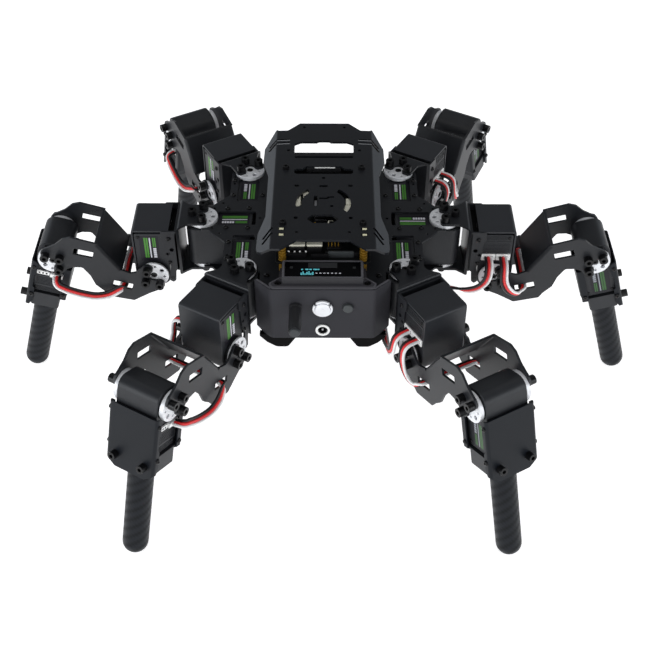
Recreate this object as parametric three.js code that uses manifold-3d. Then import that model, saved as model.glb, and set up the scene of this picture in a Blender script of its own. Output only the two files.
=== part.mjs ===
// Six-legged walking robot kit: 18 bus servos, sheet-metal brackets, tube feet.
// Millimetres, +Z up, -Y is the end with the control panel. The feet stand on z = 0.
import * as THREE from "three";
import Module from "manifold-3d";
import { mergeVertices } from "three/addons/utils/BufferGeometryUtils.js";

const wasm = await Module();
wasm.setup();
const { Manifold, Mesh } = wasm;

// ---------- driving dimensions ----------
const RAD = Math.PI / 180;
const SERVO_LONG = 40.8, SERVO_SHORT = 13.6; // case ends, either way from the horn axis
const SERVO_HALF_THICK = 13.6, SERVO_HALF_AXIAL = 18.3;
const HORN_R = 12.5, HORN_OUT = 22.6, HORN_IN = 18.95; // disc radius, outer and inner faces from the servo centre
const SHEET = 2; // bracket sheet thickness
const COXA_X = 64.7, COXA_Y = 66.1, COXA_MID_X = 100.3; // yaw axes
const FRONT_YAW = 60; // front and rear legs point this far off the X axis
const FEMUR_X = 42.7, FEMUR_Z = -45.5; // femur axis from the yaw axis, under the horn plane
const FEMUR_LEN = 84.5, TIBIA_LEN = 136.565; // joint to joint, joint to centre of the foot's round end
const FEMUR_PITCH = 10.8, TIBIA_PITCH = -73.3; // standing pose, degrees above level
const FOOT_R = 10.3, FOOT_OFF = 0.8;
const CAGE_HALF = 19;
const DECK_TOP = 28, DECK_T = 2, DECK_HALF = 40;
const PLATE_TOP = -2, PLATE_T = 2; // upper servo plate
const LOWER_TOP = -41.2, LOWER_T = 2;
const PANEL_Y = -98.5, PANEL_TOP = 5.5, PANEL_BOTTOM = -45.3;
const SEG = 16;

const kneeZ = FEMUR_Z + FEMUR_LEN * Math.sin(FEMUR_PITCH * RAD);
const HORN_PLANE = FOOT_R - (kneeZ + TIBIA_LEN * Math.sin(TIBIA_PITCH * RAD) + FOOT_OFF * Math.cos(TIBIA_PITCH * RAD));

// ---------- solids ----------
function solid(geometry) {
  const g = geometry.clone();
  g.deleteAttribute("normal");
  g.deleteAttribute("uv");
  const m = mergeVertices(g, 1e-4);
  return new Manifold(
    new Mesh({
      numProp: 3,
      vertProperties: new Float32Array(m.attributes.position.array),
      triVerts: new Uint32Array(m.index.array),
    }),
  );
}
function geometryOf(man) {
  const m = man.getMesh();
  const g = new THREE.BufferGeometry();
  const pos = new Float32Array(m.numVert * 3);
  for (let i = 0; i < m.numVert; i++)
    for (let k = 0; k < 3; k++) pos[i * 3 + k] = m.vertProperties[i * m.numProp + k];
  g.setAttribute("position", new THREE.BufferAttribute(pos, 3));
  g.setIndex(new THREE.BufferAttribute(new Uint32Array(m.triVerts), 1));
  g.computeVertexNormals();
  return g;
}
const box = (x0, x1, y0, y1, z0, z1) =>
  solid(new THREE.BoxGeometry(x1 - x0, y1 - y0, z1 - z0).translate((x0 + x1) / 2, (y0 + y1) / 2, (z0 + z1) / 2));
// a cylinder between a and b along an axis, centred on the two other coordinates c
function rod(axis, r, a, b, c = [0, 0], seg = SEG, r2 = r) {
  const g = new THREE.CylinderGeometry(r2, r, b - a, seg); // along +Y, r at a
  const mid = (a + b) / 2;
  if (axis === "y") g.translate(c[0], mid, c[1]);
  if (axis === "x") g.rotateZ(-Math.PI / 2).translate(mid, c[0], c[1]);
  if (axis === "z") g.rotateX(Math.PI / 2).translate(c[0], c[1], mid);
  return solid(g);
}
// a polygon in a plane, extruded from a to b along the third axis
function prism(plane, points, a, b) {
  const shape = new THREE.Shape(points.map((p) => new THREE.Vector2(p[0], p[1])));
  const g = new THREE.ExtrudeGeometry(shape, { depth: b - a, bevelEnabled: false, steps: 1 });
  const X = { xy: [1, 0, 0], xz: [1, 0, 0], yz: [0, 1, 0] }[plane];
  const Y = { xy: [0, 1, 0], xz: [0, 0, 1], yz: [0, 0, 1] }[plane];
  const Z = { xy: [0, 0, 1], xz: [0, -1, 0], yz: [1, 0, 0] }[plane];
  const m = new THREE.Matrix4().makeBasis(new THREE.Vector3(...X), new THREE.Vector3(...Y), new THREE.Vector3(...Z));
  g.translate(0, 0, plane === "xz" ? -b : a);
  g.applyMatrix4(m);
  return solid(g);
}
const arc = (cx, cy, r, a0, a1, n) =>
  Array.from({ length: n + 1 }, (_, i) => {
    const t = (a0 + ((a1 - a0) * i) / n) * RAD;
    return [cx + r * Math.cos(t), cy + r * Math.sin(t)];
  });
const union = (list) => list.reduce((a, b) => a.add(b));
const cut = (a, list) => list.reduce((m, b) => m.subtract(b), a);

// ---------- materials ----------
const mat = (color, roughness, metalness) => new THREE.MeshStandardMaterial({ color, roughness, metalness });
const CASE = mat(0x17181a, 0.55, 0.0), METAL = mat(0x1b1c1f, 0.45, 0.6), TUBE = mat(0x3a3b3f, 0.5, 0.1);
const PLASTIC = mat(0x26272a, 0.6, 0.0), GLASS = mat(0x020304, 0.12, 0.0), SILVER = mat(0xd8dade, 0.25, 0.9);
const RUBBER = mat(0x101113, 0.8, 0.0), BOARD = mat(0x14201a, 0.5, 0.0), LEAD = mat(0xb01818, 0.5, 0.0);

// ---------- the servo, one pattern for all 18 ----------
// In its own frame: horn axis on the second axis, case running along +x, thickness along z.
function servoCase(knee) {
  const s = SERVO_SHORT, t = SERVO_HALF_THICK, r = knee ? 9 : 4, L = SERVO_LONG;
  const outline = [
    ...arc(-s + r, t - r, r, 180, 90, knee ? 4 : 2),
    [L - 1.5, t], [L, t - 1.5], [L, -t + 1.5], [L - 1.5, -t],
    ...arc(-s + r, -t + r, r, -90, -180, knee ? 4 : 2),
  ].reverse();
  return prism("xz", outline, -SERVO_HALF_AXIAL, SERVO_HALF_AXIAL);
}

// ---------- coxa bracket with its horn discs and the femur servo cage ----------
function coxaBracket() {
  const T0 = 0, T1 = SHEET, B1 = -2 * HORN_OUT, B0 = B1 - SHEET;
  const plan = [
    [20.5, -20.8], [20.5, 20.8], [17, 17], [11.5, 13], [-2, 13], [-4, 11], [-4, 6], [-2, 4.4],
    ...arc(0, 0, 4.4, 75, -75, 3),
    [-2, -4.4], [-4, -6], [-4, -11], [-2, -13], [11.5, -13], [17, -17],
  ];
  const parts = [
    prism("xy", plan, T0, T1),
    prism("xy", plan, B0, B1),
    prism("yz", [[-20.8, B0], [20.8, B0], [20.8, T1], [-20.8, T1]], 18.5, 20.5),
    rod("z", HORN_R, -(HORN_OUT - HORN_IN), 0.2, [0, 0]),
    rod("z", HORN_R, B1 - 0.2, B1 + (HORN_OUT - HORN_IN), [0, 0]),
  ];
  // cage: inner plate, side flanges, cover over the top and the outer face
  const z0 = -1, inner = 24.4;
  const flange = [
    [inner, -2], [33.6, -2], [33.6, -9.7], [31.9, -12], [30.6, -28.5], [27.6, -37.5], [28.6, -44], [29.4, -53.5], [27, -55.5], [25.6, -53], [inner, -41],
  ];
  for (const s of [-1, 1]) {
    const a = s < 0 ? -20.1 : 18.6;
    parts.push(prism("xz", flange, a, a + 1.5));
  }
  parts.push(box(inner, inner + 1.5, -20.1, 20.1, -41, -1.2));
  parts.push(box(inner, 58.1, -CAGE_HALF, CAGE_HALF, z0 - 1.5, z0));
  parts.push(box(56.6, 58.1, -CAGE_HALF, CAGE_HALF, -50, z0));
  // two spacer bars between the U and the cage
  for (const y of [-12, 12]) parts.push(box(20.2, inner + 0.3, y - 3, y + 3, -35, -9));
  let m = union(parts);
  return m;
}

// ---------- femur link: two S-shaped side plates, a slanted web, four horn discs ----------
const L2 = FEMUR_LEN;
const mirrorPoint = ([x, z]) => [L2 - x, -z];
// the lobes that carry the horn screws, the same at both ends but turned half round
const LOBES = [[10.4, 9], [5, 11.2], [1.6, 8.6], [4.3, 0], [1.6, -4], [-5.4, -2.6], [-9.8, -5.4], [-7.8, -12.4]];
function linkOutline() {
  return [
    // upper run, from the knee's outer corner back to the hip
    [82.9, 19.1], [77.3, 26.2], [71, 28.7], [49.2, 26], [27.2, 1.8], [20, -0.3], [14.6, 1.4],
    ...LOBES,
    // lower run, from the hip back to the knee
    [1.6, -19.1], [14, -29.8], [35.5, -29], [39.5, -24.4], [47.5, -18.4], [52.5, -9], [59.5, -1.3], [67.3, -2.5], [71.4, -5.2],
    ...LOBES.map(mirrorPoint),
  ].reverse();
}
function femurLink() {
  const parts = [];
  const outline = linkOutline();
  for (const s of [-1, 1]) {
    const a = s < 0 ? -HORN_OUT - SHEET : HORN_OUT;
    let p = prism("xz", outline, a, a + SHEET);
    const slotA = [[51.9, 10.4], [68.2, 11.6], [67.6, 18.2], [51.2, 16.8]];
    p = cut(p, [prism("xz", slotA, a - 1, a + SHEET + 1), prism("xz", slotA.map(mirrorPoint), a - 1, a + SHEET + 1)]);
    parts.push(p);
    const d0 = s < 0 ? -HORN_OUT - 0.2 : HORN_IN, d1 = s < 0 ? -HORN_IN : HORN_OUT + 0.2;
    parts.push(rod("y", HORN_R, d0, d1, [0, 0]), rod("y", HORN_R, d0, d1, [L2, 0]));
  }
  // web, square to the side plates, along the slanted upper edge
  const w = [[49.2, 26], [27.2, 1.8], [28.7, 0.5], [50.6, 24.6], [54, 25.2], [53.8, 26.6]];
  parts.push(prism("xz", w.slice().reverse(), -HORN_OUT - 0.1, HORN_OUT + 0.1));
  return union(parts);
}

// ---------- tibia bracket: outer U plate, inner clamp, foot holder ----------
function tibiaBracket() {
  const zo = 15.5, zo1 = 17, yo = 20.6, yo1 = 22.1; // outer plate and its flanges
  const plate = [[6, -22.1], [55.5, -22.1], [58.5, -19.4], [61.5, -13.6], [61.5, 13.6], [58.5, 19.4], [55.5, 22.1], [6, 22.1]];
  const parts = [prism("xy", plate, zo, zo1)];
  const side = [[7, 16.5], [8, 11.4], [11, 11.2], [38, 11.2], [46, 11.2], [56, 11.2], [59.5, 16.5]];
  for (const s of [-1, 1]) {
    const a = s < 0 ? -yo1 : yo;
    parts.push(prism("xz", side.slice().reverse(), a, a + 1.5));
    // inner clamp flange
    parts.push(prism("xz", [[8, -16.6], [41.5, -16.6], [43, -14], [43, -10.6], [8, -10.6]], a, a + 1.5));
  }
  parts.push(box(8, 42, -22.1, 22.1, -17, -15.5));
  // block below the servo that carries the foot tube and ties the two sheets together
  parts.push(box(41.6, 56.4, -22.1, 22.1, -11.4, 13));
  parts.push(box(41.6, 43, -22.1, 22.1, -15.8, -10));
  parts.push(box(45, 53, -12, 12, 12.5, 15.8));
  let m = union(parts);
  m = m.subtract(rod("x", FOOT_R + 0.3, 44.4, 60, [0, FOOT_OFF], SEG));
  return m;
}
function footTube() {
  // tube with a rounded end: profile turned round the x axis
  const R = FOOT_R, x0 = 44.8, xe = TIBIA_LEN;
  const prof = [[0, x0], [R, x0], [R, xe]];
  for (const a of [28, 54, -TIBIA_PITCH, 90]) prof.push([R * Math.cos(a * RAD), xe + R * Math.sin(a * RAD)]);
  prof[prof.length - 1][0] = 0;
  const g = new THREE.LatheGeometry(prof.map((p) => new THREE.Vector2(p[0], p[1])), 16);
  g.rotateZ(-Math.PI / 2); // turned about Y, laid along X
  return solid(g).translate([0, 0, FOOT_OFF]);
}

// ---------- servo leads of one leg, in the leg frame ----------
const linkPoint = (lx, y, lz) => {
  const c = Math.cos(FEMUR_PITCH * RAD), s = Math.sin(FEMUR_PITCH * RAD);
  return [FEMUR_X + lx * c - lz * s, y, FEMUR_Z + lx * s + lz * c];
};
const LEAD_B = [
  [48.6, -24.2, -29], [48.6, -26.4, -31.8], [48.8, -27.2, -37], [50.6, -27.6, -44], [54.6, -28.2, -51], [60, -28.6, -56], [65.6, -28, -58], linkPoint(23.6, -26.4, -14.6),
  linkPoint(23.8, -22, -14.2), linkPoint(24, -10, -13.6), linkPoint(24, 0, -13.4), linkPoint(24, 10, -13.6), linkPoint(23.9, 22, -14.2),
  linkPoint(25, 26.4, -15), linkPoint(29, 28.4, -17.6), linkPoint(36, 29.4, -22.6), linkPoint(46, 29.8, -27.8), linkPoint(57, 29.6, -28.6), linkPoint(68, 28.4, -26.6), linkPoint(75, 27, -24.6), linkPoint(79, 24.8, -22.8), linkPoint(80, 21, -21.4),
];
const LEAD_A_HEAD = [[37, -24.2, -29], [37.4, -25.8, -32.5], [37.6, -26.4, -38], [36.2, -26.8, -45], [32, -27, -51.4], [26.5, -26, -55.8], [20, -24, -58.4]];
function tube(points, r, steps) {
  const path = new THREE.CatmullRomCurve3(points.map((p) => new THREE.Vector3(...p)), false, "centripetal");
  const ring = new THREE.Shape(arc(0, 0, r, 0, 315, 7).map((p) => new THREE.Vector2(...p)));
  return solid(new THREE.ExtrudeGeometry(ring, { steps, extrudePath: path, bevelEnabled: false }));
}
function leads(end) {
  // end: the last points of the body lead, in the leg frame
  return union([
    tube(LEAD_B, 1.5, 24),
    tube([...LEAD_A_HEAD, ...end], 1.5, 12),
    box(31.6, 54, -25.9, -18.7, -30.6, -24.4), // the two plugs side by side
    solid(new THREE.BoxGeometry(5.4, 3.2, 21).translate(19.4, 20.4, 0.3))
      .transform(kneeMatrix()), // the plugs at the knee servo
  ]);
}
function kneeMatrix() {
  const m = new THREE.Matrix4()
    .makeTranslation(FEMUR_X, 0, FEMUR_Z)
    .multiply(new THREE.Matrix4().makeRotationY(-FEMUR_PITCH * RAD))
    .multiply(new THREE.Matrix4().makeTranslation(FEMUR_LEN, 0, 0))
    .multiply(new THREE.Matrix4().makeRotationY(-(TIBIA_PITCH - FEMUR_PITCH) * RAD));
  return m.elements.slice();
}

// ---------- body ----------
const mirrorX = (pts) => [...pts, ...pts.slice().reverse().map(([x, y]) => [-x, y])];
function plateOutline(rear) {
  // right half, from the front centre round to the rear centre
  const half = [
    [0, -84], [49.5, -84], [49.5, -68], [80, -66.1], [80, -31], [88.3, -22.7], [94.2, -16], [101, -15.6],
    [101, 15.6], [94.2, 16], [88.3, 22.7], [80, 31], [80, 66.1], [49.5, 68], [49.5, rear], [0, rear],
  ];
  return [...half, ...half.slice(1, -1).reverse().map(([x, y]) => [-x, y])];
}
const hornCuts = (z0, z1) => {
  const list = [];
  for (const sx of [-1, 1]) {
    list.push(rod("z", HORN_R + 1.1, z0, z1, [sx * COXA_MID_X, 0]));
    for (const sy of [-1, 1]) list.push(rod("z", HORN_R + 1.1, z0, z1, [sx * COXA_X, sy * COXA_Y]));
  }
  return list;
};
function upperPlate() {
  const z1 = PLATE_TOP, z0 = z1 - PLATE_T;
  let m = prism("xy", plateOutline(82), z0, z1);
  m = cut(m, hornCuts(z0 - 1, z1 + 1));
  const win = [];
  for (const sx of [-1, 1]) {
    const mid = [sx * 56.2, sx * 88].sort((a, b) => a - b);
    win.push(box(mid[0], mid[1], -9, 9, z0 - 1, z1 + 1));
    for (const sy of [-1, 1]) {
      const x = [sx * 55.7, sx * 73.7].sort((a, b) => a - b), y = [sy * 22.6, sy * 54].sort((a, b) => a - b);
      win.push(box(x[0], x[1], y[0], y[1], z0 - 1, z1 + 1));
    }
  }
  win.push(box(-16, 16, -24, 24, z0 - 1, z1 + 1)); // cable opening under the board
  m = cut(m, win);
  return m;
}
function skid(sx, y0, y1) {
  const pts = [[40, -42.5], [40, -45.8], [50.4, -45.8], [50.4, -47.6], [46.4, -54], [38.5, -60], [28, -60], [19, -45.8], [19, -42.5]].map(([x, z]) => [sx * x, z]);
  return prism("xz", sx > 0 ? pts : pts.slice().reverse(), y0, y1);
}
function lowerPlate() {
  const z1 = LOWER_TOP, z0 = z1 - LOWER_T;
  let m = prism("xy", plateOutline(84), z0, z1);
  const tongue = [];
  tongue.push(prism("xy", [[-49.5, -83.5], [-40.8, -93.5], [40.8, -93.5], [49.5, -83.5]], z0, z1));
  m = union([m, ...tongue, skid(1, -93.5, -88.5), skid(-1, -93.5, -88.5), skid(1, 80, 84), skid(-1, 80, 84)]);
  m = cut(m, [...hornCuts(z0 - 1, z1 + 1), ...LEAD_HOLES.map((p) => rod("z", 4, z0 - 1, z1 + 1, p, 10))]);
  return m;
}
const LEAD_HOLES = [[45.6, -40], [-45.6, 40], [-45.6, -40], [45.6, 40], [53, -12], [-53, 12]];

function frontPanel() {
  // a bent wall with two swept-back wings, 2 mm thick, and a roof
  const wall = [[-53, -86.4], [-40.3, -98.5], [40.3, -98.5], [53, -86.4], [51.6, -85], [39.5, -96.5], [-39.5, -96.5], [-51.6, -85]];
  const top = PANEL_TOP, bottom = PANEL_BOTTOM;
  let m = prism("xy", wall, bottom, top);
  {
    const roof = [[-40.3, -98.5], [40.3, -98.5], [41.8, -91.3], [33.5, -84.6], [33.5, -73], [-33.5, -73], [-33.5, -84.6], [-41.8, -91.3]];
    m = m.add(prism("xy", roof, top - 2.2, top));
    const stand = [];
    // two posts that stand on the lower plate
    for (const sx of [-1, 1]) stand.push(rod("z", 3.2, LOWER_TOP + 0.3, top - 1, [sx * 34.4, -90.2], 12));
    m = union([m, ...stand]);
    m = cut(m, [
      rod("y", 6.4, -100, -90, [0, -12], SEG),
      rod("y", 4.6, -100, -90, [0, -35.7], SEG),
      rod("y", 3.6, -100, -90, [-21, -12], 16),
      rod("z", 3.1, top - 1.4, top + 1, [34.4, -90.2], 16),
      rod("z", 3.1, top - 1.4, top + 1, [-34.4, -90.2], 16),
      box(-27, 27, -90, -76, top - 4, top + 1),
    ]);
    // small round key on the right of the button
    m = m.add(rod("y", 4.1, -101, -98, [19.6, -12], 16));
  }
  return m;
}
function rearPanel() {
  // flat cover of the battery bay, standing between the two servo plates
  const z0 = LOWER_TOP + 0.3, z1 = PLATE_TOP - PLATE_T - 0.3;
  let m = box(-46, 46, 79.6, 81.6, z0, z1);
  const slots = [];
  for (let i = -2; i <= 2; i++) slots.push(box(i * 13 - 4.5, i * 13 + 4.5, 78, 83, -31, -25));
  m = cut(m, slots);
  return m.add(box(-12, 12, 81.5, 84, -17, -10));
}
function displayBezel() {
  // sloped box on the roof, open where the glass sits
  const side = [[-92.3, PANEL_TOP + 0.3], [-91.1, 11.6], [-73.2, 13.9], [-73.2, PANEL_TOP + 0.3]];
  let m = prism("yz", side, -31.5, 31.5);
  m = m.subtract(prism("yz", [[-89.9, 10.2], [-89.9, 15], [-74.4, 15], [-74.4, 11.6]], -29.1, 29.1));
  return m.subtract(box(-20, 20, -86, -78, 4, 12));
}
function displayGlass() {
  return prism("yz", [[-89.5, 10.55], [-89.5, 11.35], [-74.8, 13.2], [-74.8, 12.1]], -28.7, 28.7);
}
function deck() {
  const z1 = DECK_TOP, z0 = z1 - DECK_T;
  const outline = [
    [-40, -76.7], [-33.4, -76.7], [-20.8, -65.6], [20.8, -65.6], [33.4, -76.7], [40, -76.7], [40, 84.6], [31.4, 85], [21.2, 96], [-21.2, 96], [-31.4, 85], [-40, 84.6],
  ];
  let m = prism("xy", outline, z0, z1);
  // wings, bent down along the deck's long edges
  for (const s of [-1, 1]) {
    const drop = Math.tan(27.5 * RAD);
    const cs = [[39.6, z1], [52, z1 - (52 - 40) * drop], [52, z1 - (52 - 40) * drop - 2.1], [39.6, z0]].map(([x, z]) => [s * x, z]);
    let strip = prism("xz", s > 0 ? cs.reverse() : cs, -78, 90);
    const plan = [
      [39, -76.7], [48.2, -76.2], [51.2, -73.5], [51.7, -69], [51.2, -52], [46, -33], [46, 23], [51.2, 44.7], [50.9, 64], [41, 84.6], [39, 84.6],
    ].map(([x, y]) => [s * x, y]);
    strip = strip.intersect(prism("xy", s > 0 ? plan : plan.reverse(), 5, 40));
    m = m.add(strip);
  }
  const holes = [
    prism("xy", [[-25, 51.2], [25, 51.2], [25, 64], [19.5, 67.4], [-19.5, 67.4], [-25, 64]], z0 - 1, z1 + 1),
    box(-24.4, 24.4, 21.2, 32, z0 - 1, z1 + 1),
    prism("xy", [[-8.6, -33.6], [-12.6, -39.3], [-8, -44.4], [8, -44.4], [12.6, -39.3], [8.6, -33.6]], z0 - 1, z1 + 1),
  ];
  // two arc openings round the sensor pattern
  for (const s of [-1, 1]) {
    const a = [...arc(0, -18.4, 22, 124, 212, 10), ...arc(0, -18.4, 17.4, 207, 129, 8)].map(([x, y]) => [-s * -x, y]);
    holes.push(prism("xy", s > 0 ? a : a.map(([x, y]) => [x, y]).reverse(), z0 - 1, z1 + 1));
  }
  m = cut(m, holes);
  return m;
}
function controllerBoard() {
  const z0 = 8, z1 = 9.6;
  const parts = [box(-37, 37, -71, 71, z0, z1)];
  for (const sx of [-1, 1]) for (const sy of [-1, 1]) parts.push(rod("z", 3, PLATE_TOP + 0.3, DECK_TOP - DECK_T - 0.3, [sx * 31.6, sy * 67], 6));
  parts.push(box(-27.4, -14.6, -59, -50, z1 - 0.1, 17), box(-13.4, -0.4, -59, -50, z1 - 0.1, 17), box(3, 12, -58, -50, z1 - 0.1, 15));
  parts.push(box(-27, 27, 30, 62, z1 - 0.1, 18), box(-20, 20, -34, 20, z1 - 0.1, 20));
  return union(parts);
}
function batteryPack() {
  const m = prism("yz", [[-48, -40.6], [48, -40.6], [48, -16], [46, -14], [-46, -14], [-48, -16]], -22, 22);
  return m;
}
function powerButton() {
  return rod("y", 6.1, -102.4, -92, [0, -12], SEG).add(rod("y", 7.7, -102.4, -99.6, [0, -12], SEG));
}
function dcJack() {
  let m = rod("y", 4.3, -99.9, -86, [0, -35.7], SEG).add(rod("y", 5.8, -99.9, -98.8, [0, -35.7], SEG));
  m = m.subtract(rod("y", 3, -101, -90, [0, -35.7], 16));
  return m.add(rod("y", 1, -98.4, -89, [0, -35.7], 8));
}
function antenna() {
  return union([rod("y", 3.3, -99.2, -92, [-21, -12], 16), rod("y", 4.9, -126.5, -98.8, [-21, -12], SEG), rod("y", 3.9, -128.6, -126.4, [-21, -12], SEG)]);
}

// ---------- assembly ----------
const root = new THREE.Group();
const body = new THREE.Group();
body.position.set(0, 0, HORN_PLANE);
root.add(body);
function put(parent, name, man, material) {
  const mesh = new THREE.Mesh(geometryOf(man), material);
  mesh.name = name;
  parent.add(mesh);
  return mesh;
}
put(body, "deck", deck(), METAL);
put(body, "upper_servo_plate", upperPlate(), METAL);
put(body, "lower_servo_plate", lowerPlate(), METAL);
put(body, "front_panel", frontPanel(), PLASTIC);
put(body, "rear_panel", rearPanel(), PLASTIC);
put(body, "display_bezel", displayBezel(), PLASTIC);
put(body, "display_glass", displayGlass(), GLASS);
put(body, "power_button", powerButton(), SILVER);
put(body, "dc_jack", dcJack(), SILVER);
put(body, "antenna", antenna(), RUBBER);
put(body, "controller_board", controllerBoard(), BOARD);
put(body, "battery_pack", batteryPack(), RUBBER);

const coxaCase = servoCase(false), kneeCase = servoCase(true);
const bracket = coxaBracket(), link = femurLink(), shin = tibiaBracket(), foot = footTube();
const LEGS = [
  // name, yaw axis, heading, way the coxa servo's case points
  ["front_left", -COXA_X, -COXA_Y, 180 + FRONT_YAW, 90],
  ["mid_left", -COXA_MID_X, 0, 180, 0],
  ["rear_left", -COXA_X, COXA_Y, 180 - FRONT_YAW, -90],
  ["front_right", COXA_X, -COXA_Y, -FRONT_YAW, 90],
  ["mid_right", COXA_MID_X, 0, 0, 180],
  ["rear_right", COXA_X, COXA_Y, FRONT_YAW, -90],
];
for (const [name, cx, cy, heading, caseWay] of LEGS) {
  const coxa = new THREE.Group();
  coxa.position.set(cx, cy, -HORN_OUT);
  coxa.rotation.set(0, 0, caseWay * RAD);
  body.add(coxa);
  const servo = put(coxa, name + "_coxa_servo", coxaCase, CASE);
  servo.rotation.x = Math.PI / 2; // horn axis up

  const leg = new THREE.Group();
  leg.position.set(cx, cy, 0);
  leg.rotation.set(0, 0, heading * RAD);
  body.add(leg);
  put(leg, name + "_coxa_bracket", bracket, METAL);
  const femurServo = put(leg, name + "_femur_servo", coxaCase, CASE);
  femurServo.position.set(FEMUR_X, 0, FEMUR_Z);
  femurServo.rotation.y = -Math.PI / 2; // case running up

  const femur = new THREE.Group();
  femur.position.set(FEMUR_X, 0, FEMUR_Z);
  femur.rotation.y = -FEMUR_PITCH * RAD;
  leg.add(femur);
  put(femur, name + "_femur_link", link, METAL);

  const tibia = new THREE.Group();
  tibia.position.set(FEMUR_LEN, 0, 0);
  tibia.rotation.y = -(TIBIA_PITCH - FEMUR_PITCH) * RAD;
  femur.add(tibia);
  put(tibia, name + "_tibia_servo", kneeCase, CASE);
  put(tibia, name + "_tibia_bracket", shin, METAL);
  put(tibia, name + "_foot", foot, TUBE);

  // the body lead ends up through a hole in the lower plate
  const hole = { front_left: [-45.6, -40], mid_left: [-53, 12], rear_left: [-45.6, 40], front_right: [45.6, -40], mid_right: [53, -12], rear_right: [45.6, 40] }[name];
  const h = heading * RAD, dx = hole[0] - cx, dy = hole[1] - cy;
  const hx = dx * Math.cos(h) + dy * Math.sin(h), hy = -dx * Math.sin(h) + dy * Math.cos(h);
  const way = [[10, -22, -59]];
  const end = [...way, [(10 + hx * 2) / 3, (-22 + hy * 2) / 3, -58.5], [hx + (10 - hx) * 0.1, hy + (-22 - hy) * 0.1, -54.5], [hx, hy, -48], [hx, hy, -36]];
  put(leg, name + "_servo_leads", leads(end), LEAD);
}

export default root;
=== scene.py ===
# Six-legged walking robot: the looks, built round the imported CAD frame.
import bpy, bmesh, math
from mathutils import Matrix, Vector


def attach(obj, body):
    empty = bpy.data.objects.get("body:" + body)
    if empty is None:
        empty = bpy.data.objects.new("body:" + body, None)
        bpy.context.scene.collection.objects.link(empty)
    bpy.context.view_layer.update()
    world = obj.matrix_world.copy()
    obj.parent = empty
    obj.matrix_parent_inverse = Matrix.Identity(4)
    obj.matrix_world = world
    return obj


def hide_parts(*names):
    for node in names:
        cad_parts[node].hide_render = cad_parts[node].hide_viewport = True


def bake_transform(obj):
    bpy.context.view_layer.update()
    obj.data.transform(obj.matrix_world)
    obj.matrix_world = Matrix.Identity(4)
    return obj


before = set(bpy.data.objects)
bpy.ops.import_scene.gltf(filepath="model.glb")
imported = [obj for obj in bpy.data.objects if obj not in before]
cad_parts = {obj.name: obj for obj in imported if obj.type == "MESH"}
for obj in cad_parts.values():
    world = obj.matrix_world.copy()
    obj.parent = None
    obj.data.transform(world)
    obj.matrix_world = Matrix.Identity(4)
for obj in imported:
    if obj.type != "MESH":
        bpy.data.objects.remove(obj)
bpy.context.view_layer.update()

MM = 0.001
RAD = math.pi / 180
HORN = 12.5
COXA = {"front_left": (-64.7, -66.1, 240, 90), "mid_left": (-100.3, 0, 180, 0), "rear_left": (-64.7, 66.1, 120, -90),
        "front_right": (64.7, -66.1, -60, 90), "mid_right": (100.3, 0, 0, 180), "rear_right": (64.7, 66.1, 60, -90)}
LEGS = list(COXA)
FX, FZ, L2, PITCH, BEND = 42.7, -45.5, 84.5, 10.8, 84.1
KNEE_Z = FZ + L2 * math.sin(PITCH * RAD)
H = 10.3 - (KNEE_Z + 136.565 * math.sin(-73.3 * RAD) + 0.8 * math.cos(-73.3 * RAD))  # horn plane above the ground


# ------------------------------------------------------------ camera
def camera():
    f = Vector((-0.00789, 0.72890, -0.68457)).normalized()
    r0 = f.cross(Vector((0, 0, 1))).normalized()
    u0 = r0.cross(f)
    a = -0.2 * RAD
    r = r0 * math.cos(a) + u0 * math.sin(a)
    u = u0 * math.cos(a) - r0 * math.sin(a)
    data = bpy.data.cameras.new("camera")
    data.sensor_width = 36.0
    data.lens = 1117.4 / 645 * 36.0
    data.clip_start, data.clip_end = 0.02, 30
    cam = bpy.data.objects.new("camera", data)
    bpy.context.scene.collection.objects.link(cam)
    m = Matrix((r, u, -f)).transposed().to_4x4()
    m.translation = Vector((6.77, -736.10, 570.52 + H)) * MM
    cam.matrix_world = m
    bpy.context.scene.camera = cam


camera()


# ------------------------------------------------------------ shapes, all in millimetres
class Shape:
    def __init__(self, v, f, m=0):
        self.v = [Vector(p) for p in v]
        self.f = [list(q) for q in f]
        self.m = [m] * len(self.f) if isinstance(m, int) else list(m)

    def by(self, M):
        flip = M.determinant() < 0
        return Shape([M @ p for p in self.v], [q[::-1] if flip else q for q in self.f], self.m)

    def move(self, x=0, y=0, z=0):
        return self.by(Matrix.Translation((x, y, z)))

    def turn(self, deg, axis):
        return self.by(Matrix.Rotation(deg * RAD, 4, axis))

    def mirror(self, axis):
        s = [1, 1, 1]
        s["xyz".index(axis)] = -1
        return self.by(Matrix.Diagonal((*s, 1)))

    def mat(self, k):
        return Shape(self.v, self.f, k)

    def __add__(self, o):
        n = len(self.v)
        return Shape(self.v + o.v, self.f + [[i + n for i in q] for q in o.f], self.m + o.m)


def total(shapes):
    out = Shape([], [])
    for s in shapes:
        out = out + s
    return out


def to_bm(s):
    bm = bmesh.new()
    vs = [bm.verts.new(p) for p in s.v]
    for q, m in zip(s.f, s.m):
        try:
            face = bm.faces.new([vs[i] for i in q])
            face.material_index = m
        except ValueError:
            pass
    bm.normal_update()
    return bm


def from_bm(bm, m=None):
    bm.verts.index_update()
    s = Shape([v.co.copy() for v in bm.verts], [[v.index for v in f.verts] for f in bm.faces],
              [f.material_index for f in bm.faces] if m is None else m)
    bm.free()
    return s


def outward(s):
    bm = to_bm(s)
    bmesh.ops.recalc_face_normals(bm, faces=bm.faces[:])
    return from_bm(bm)


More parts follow.
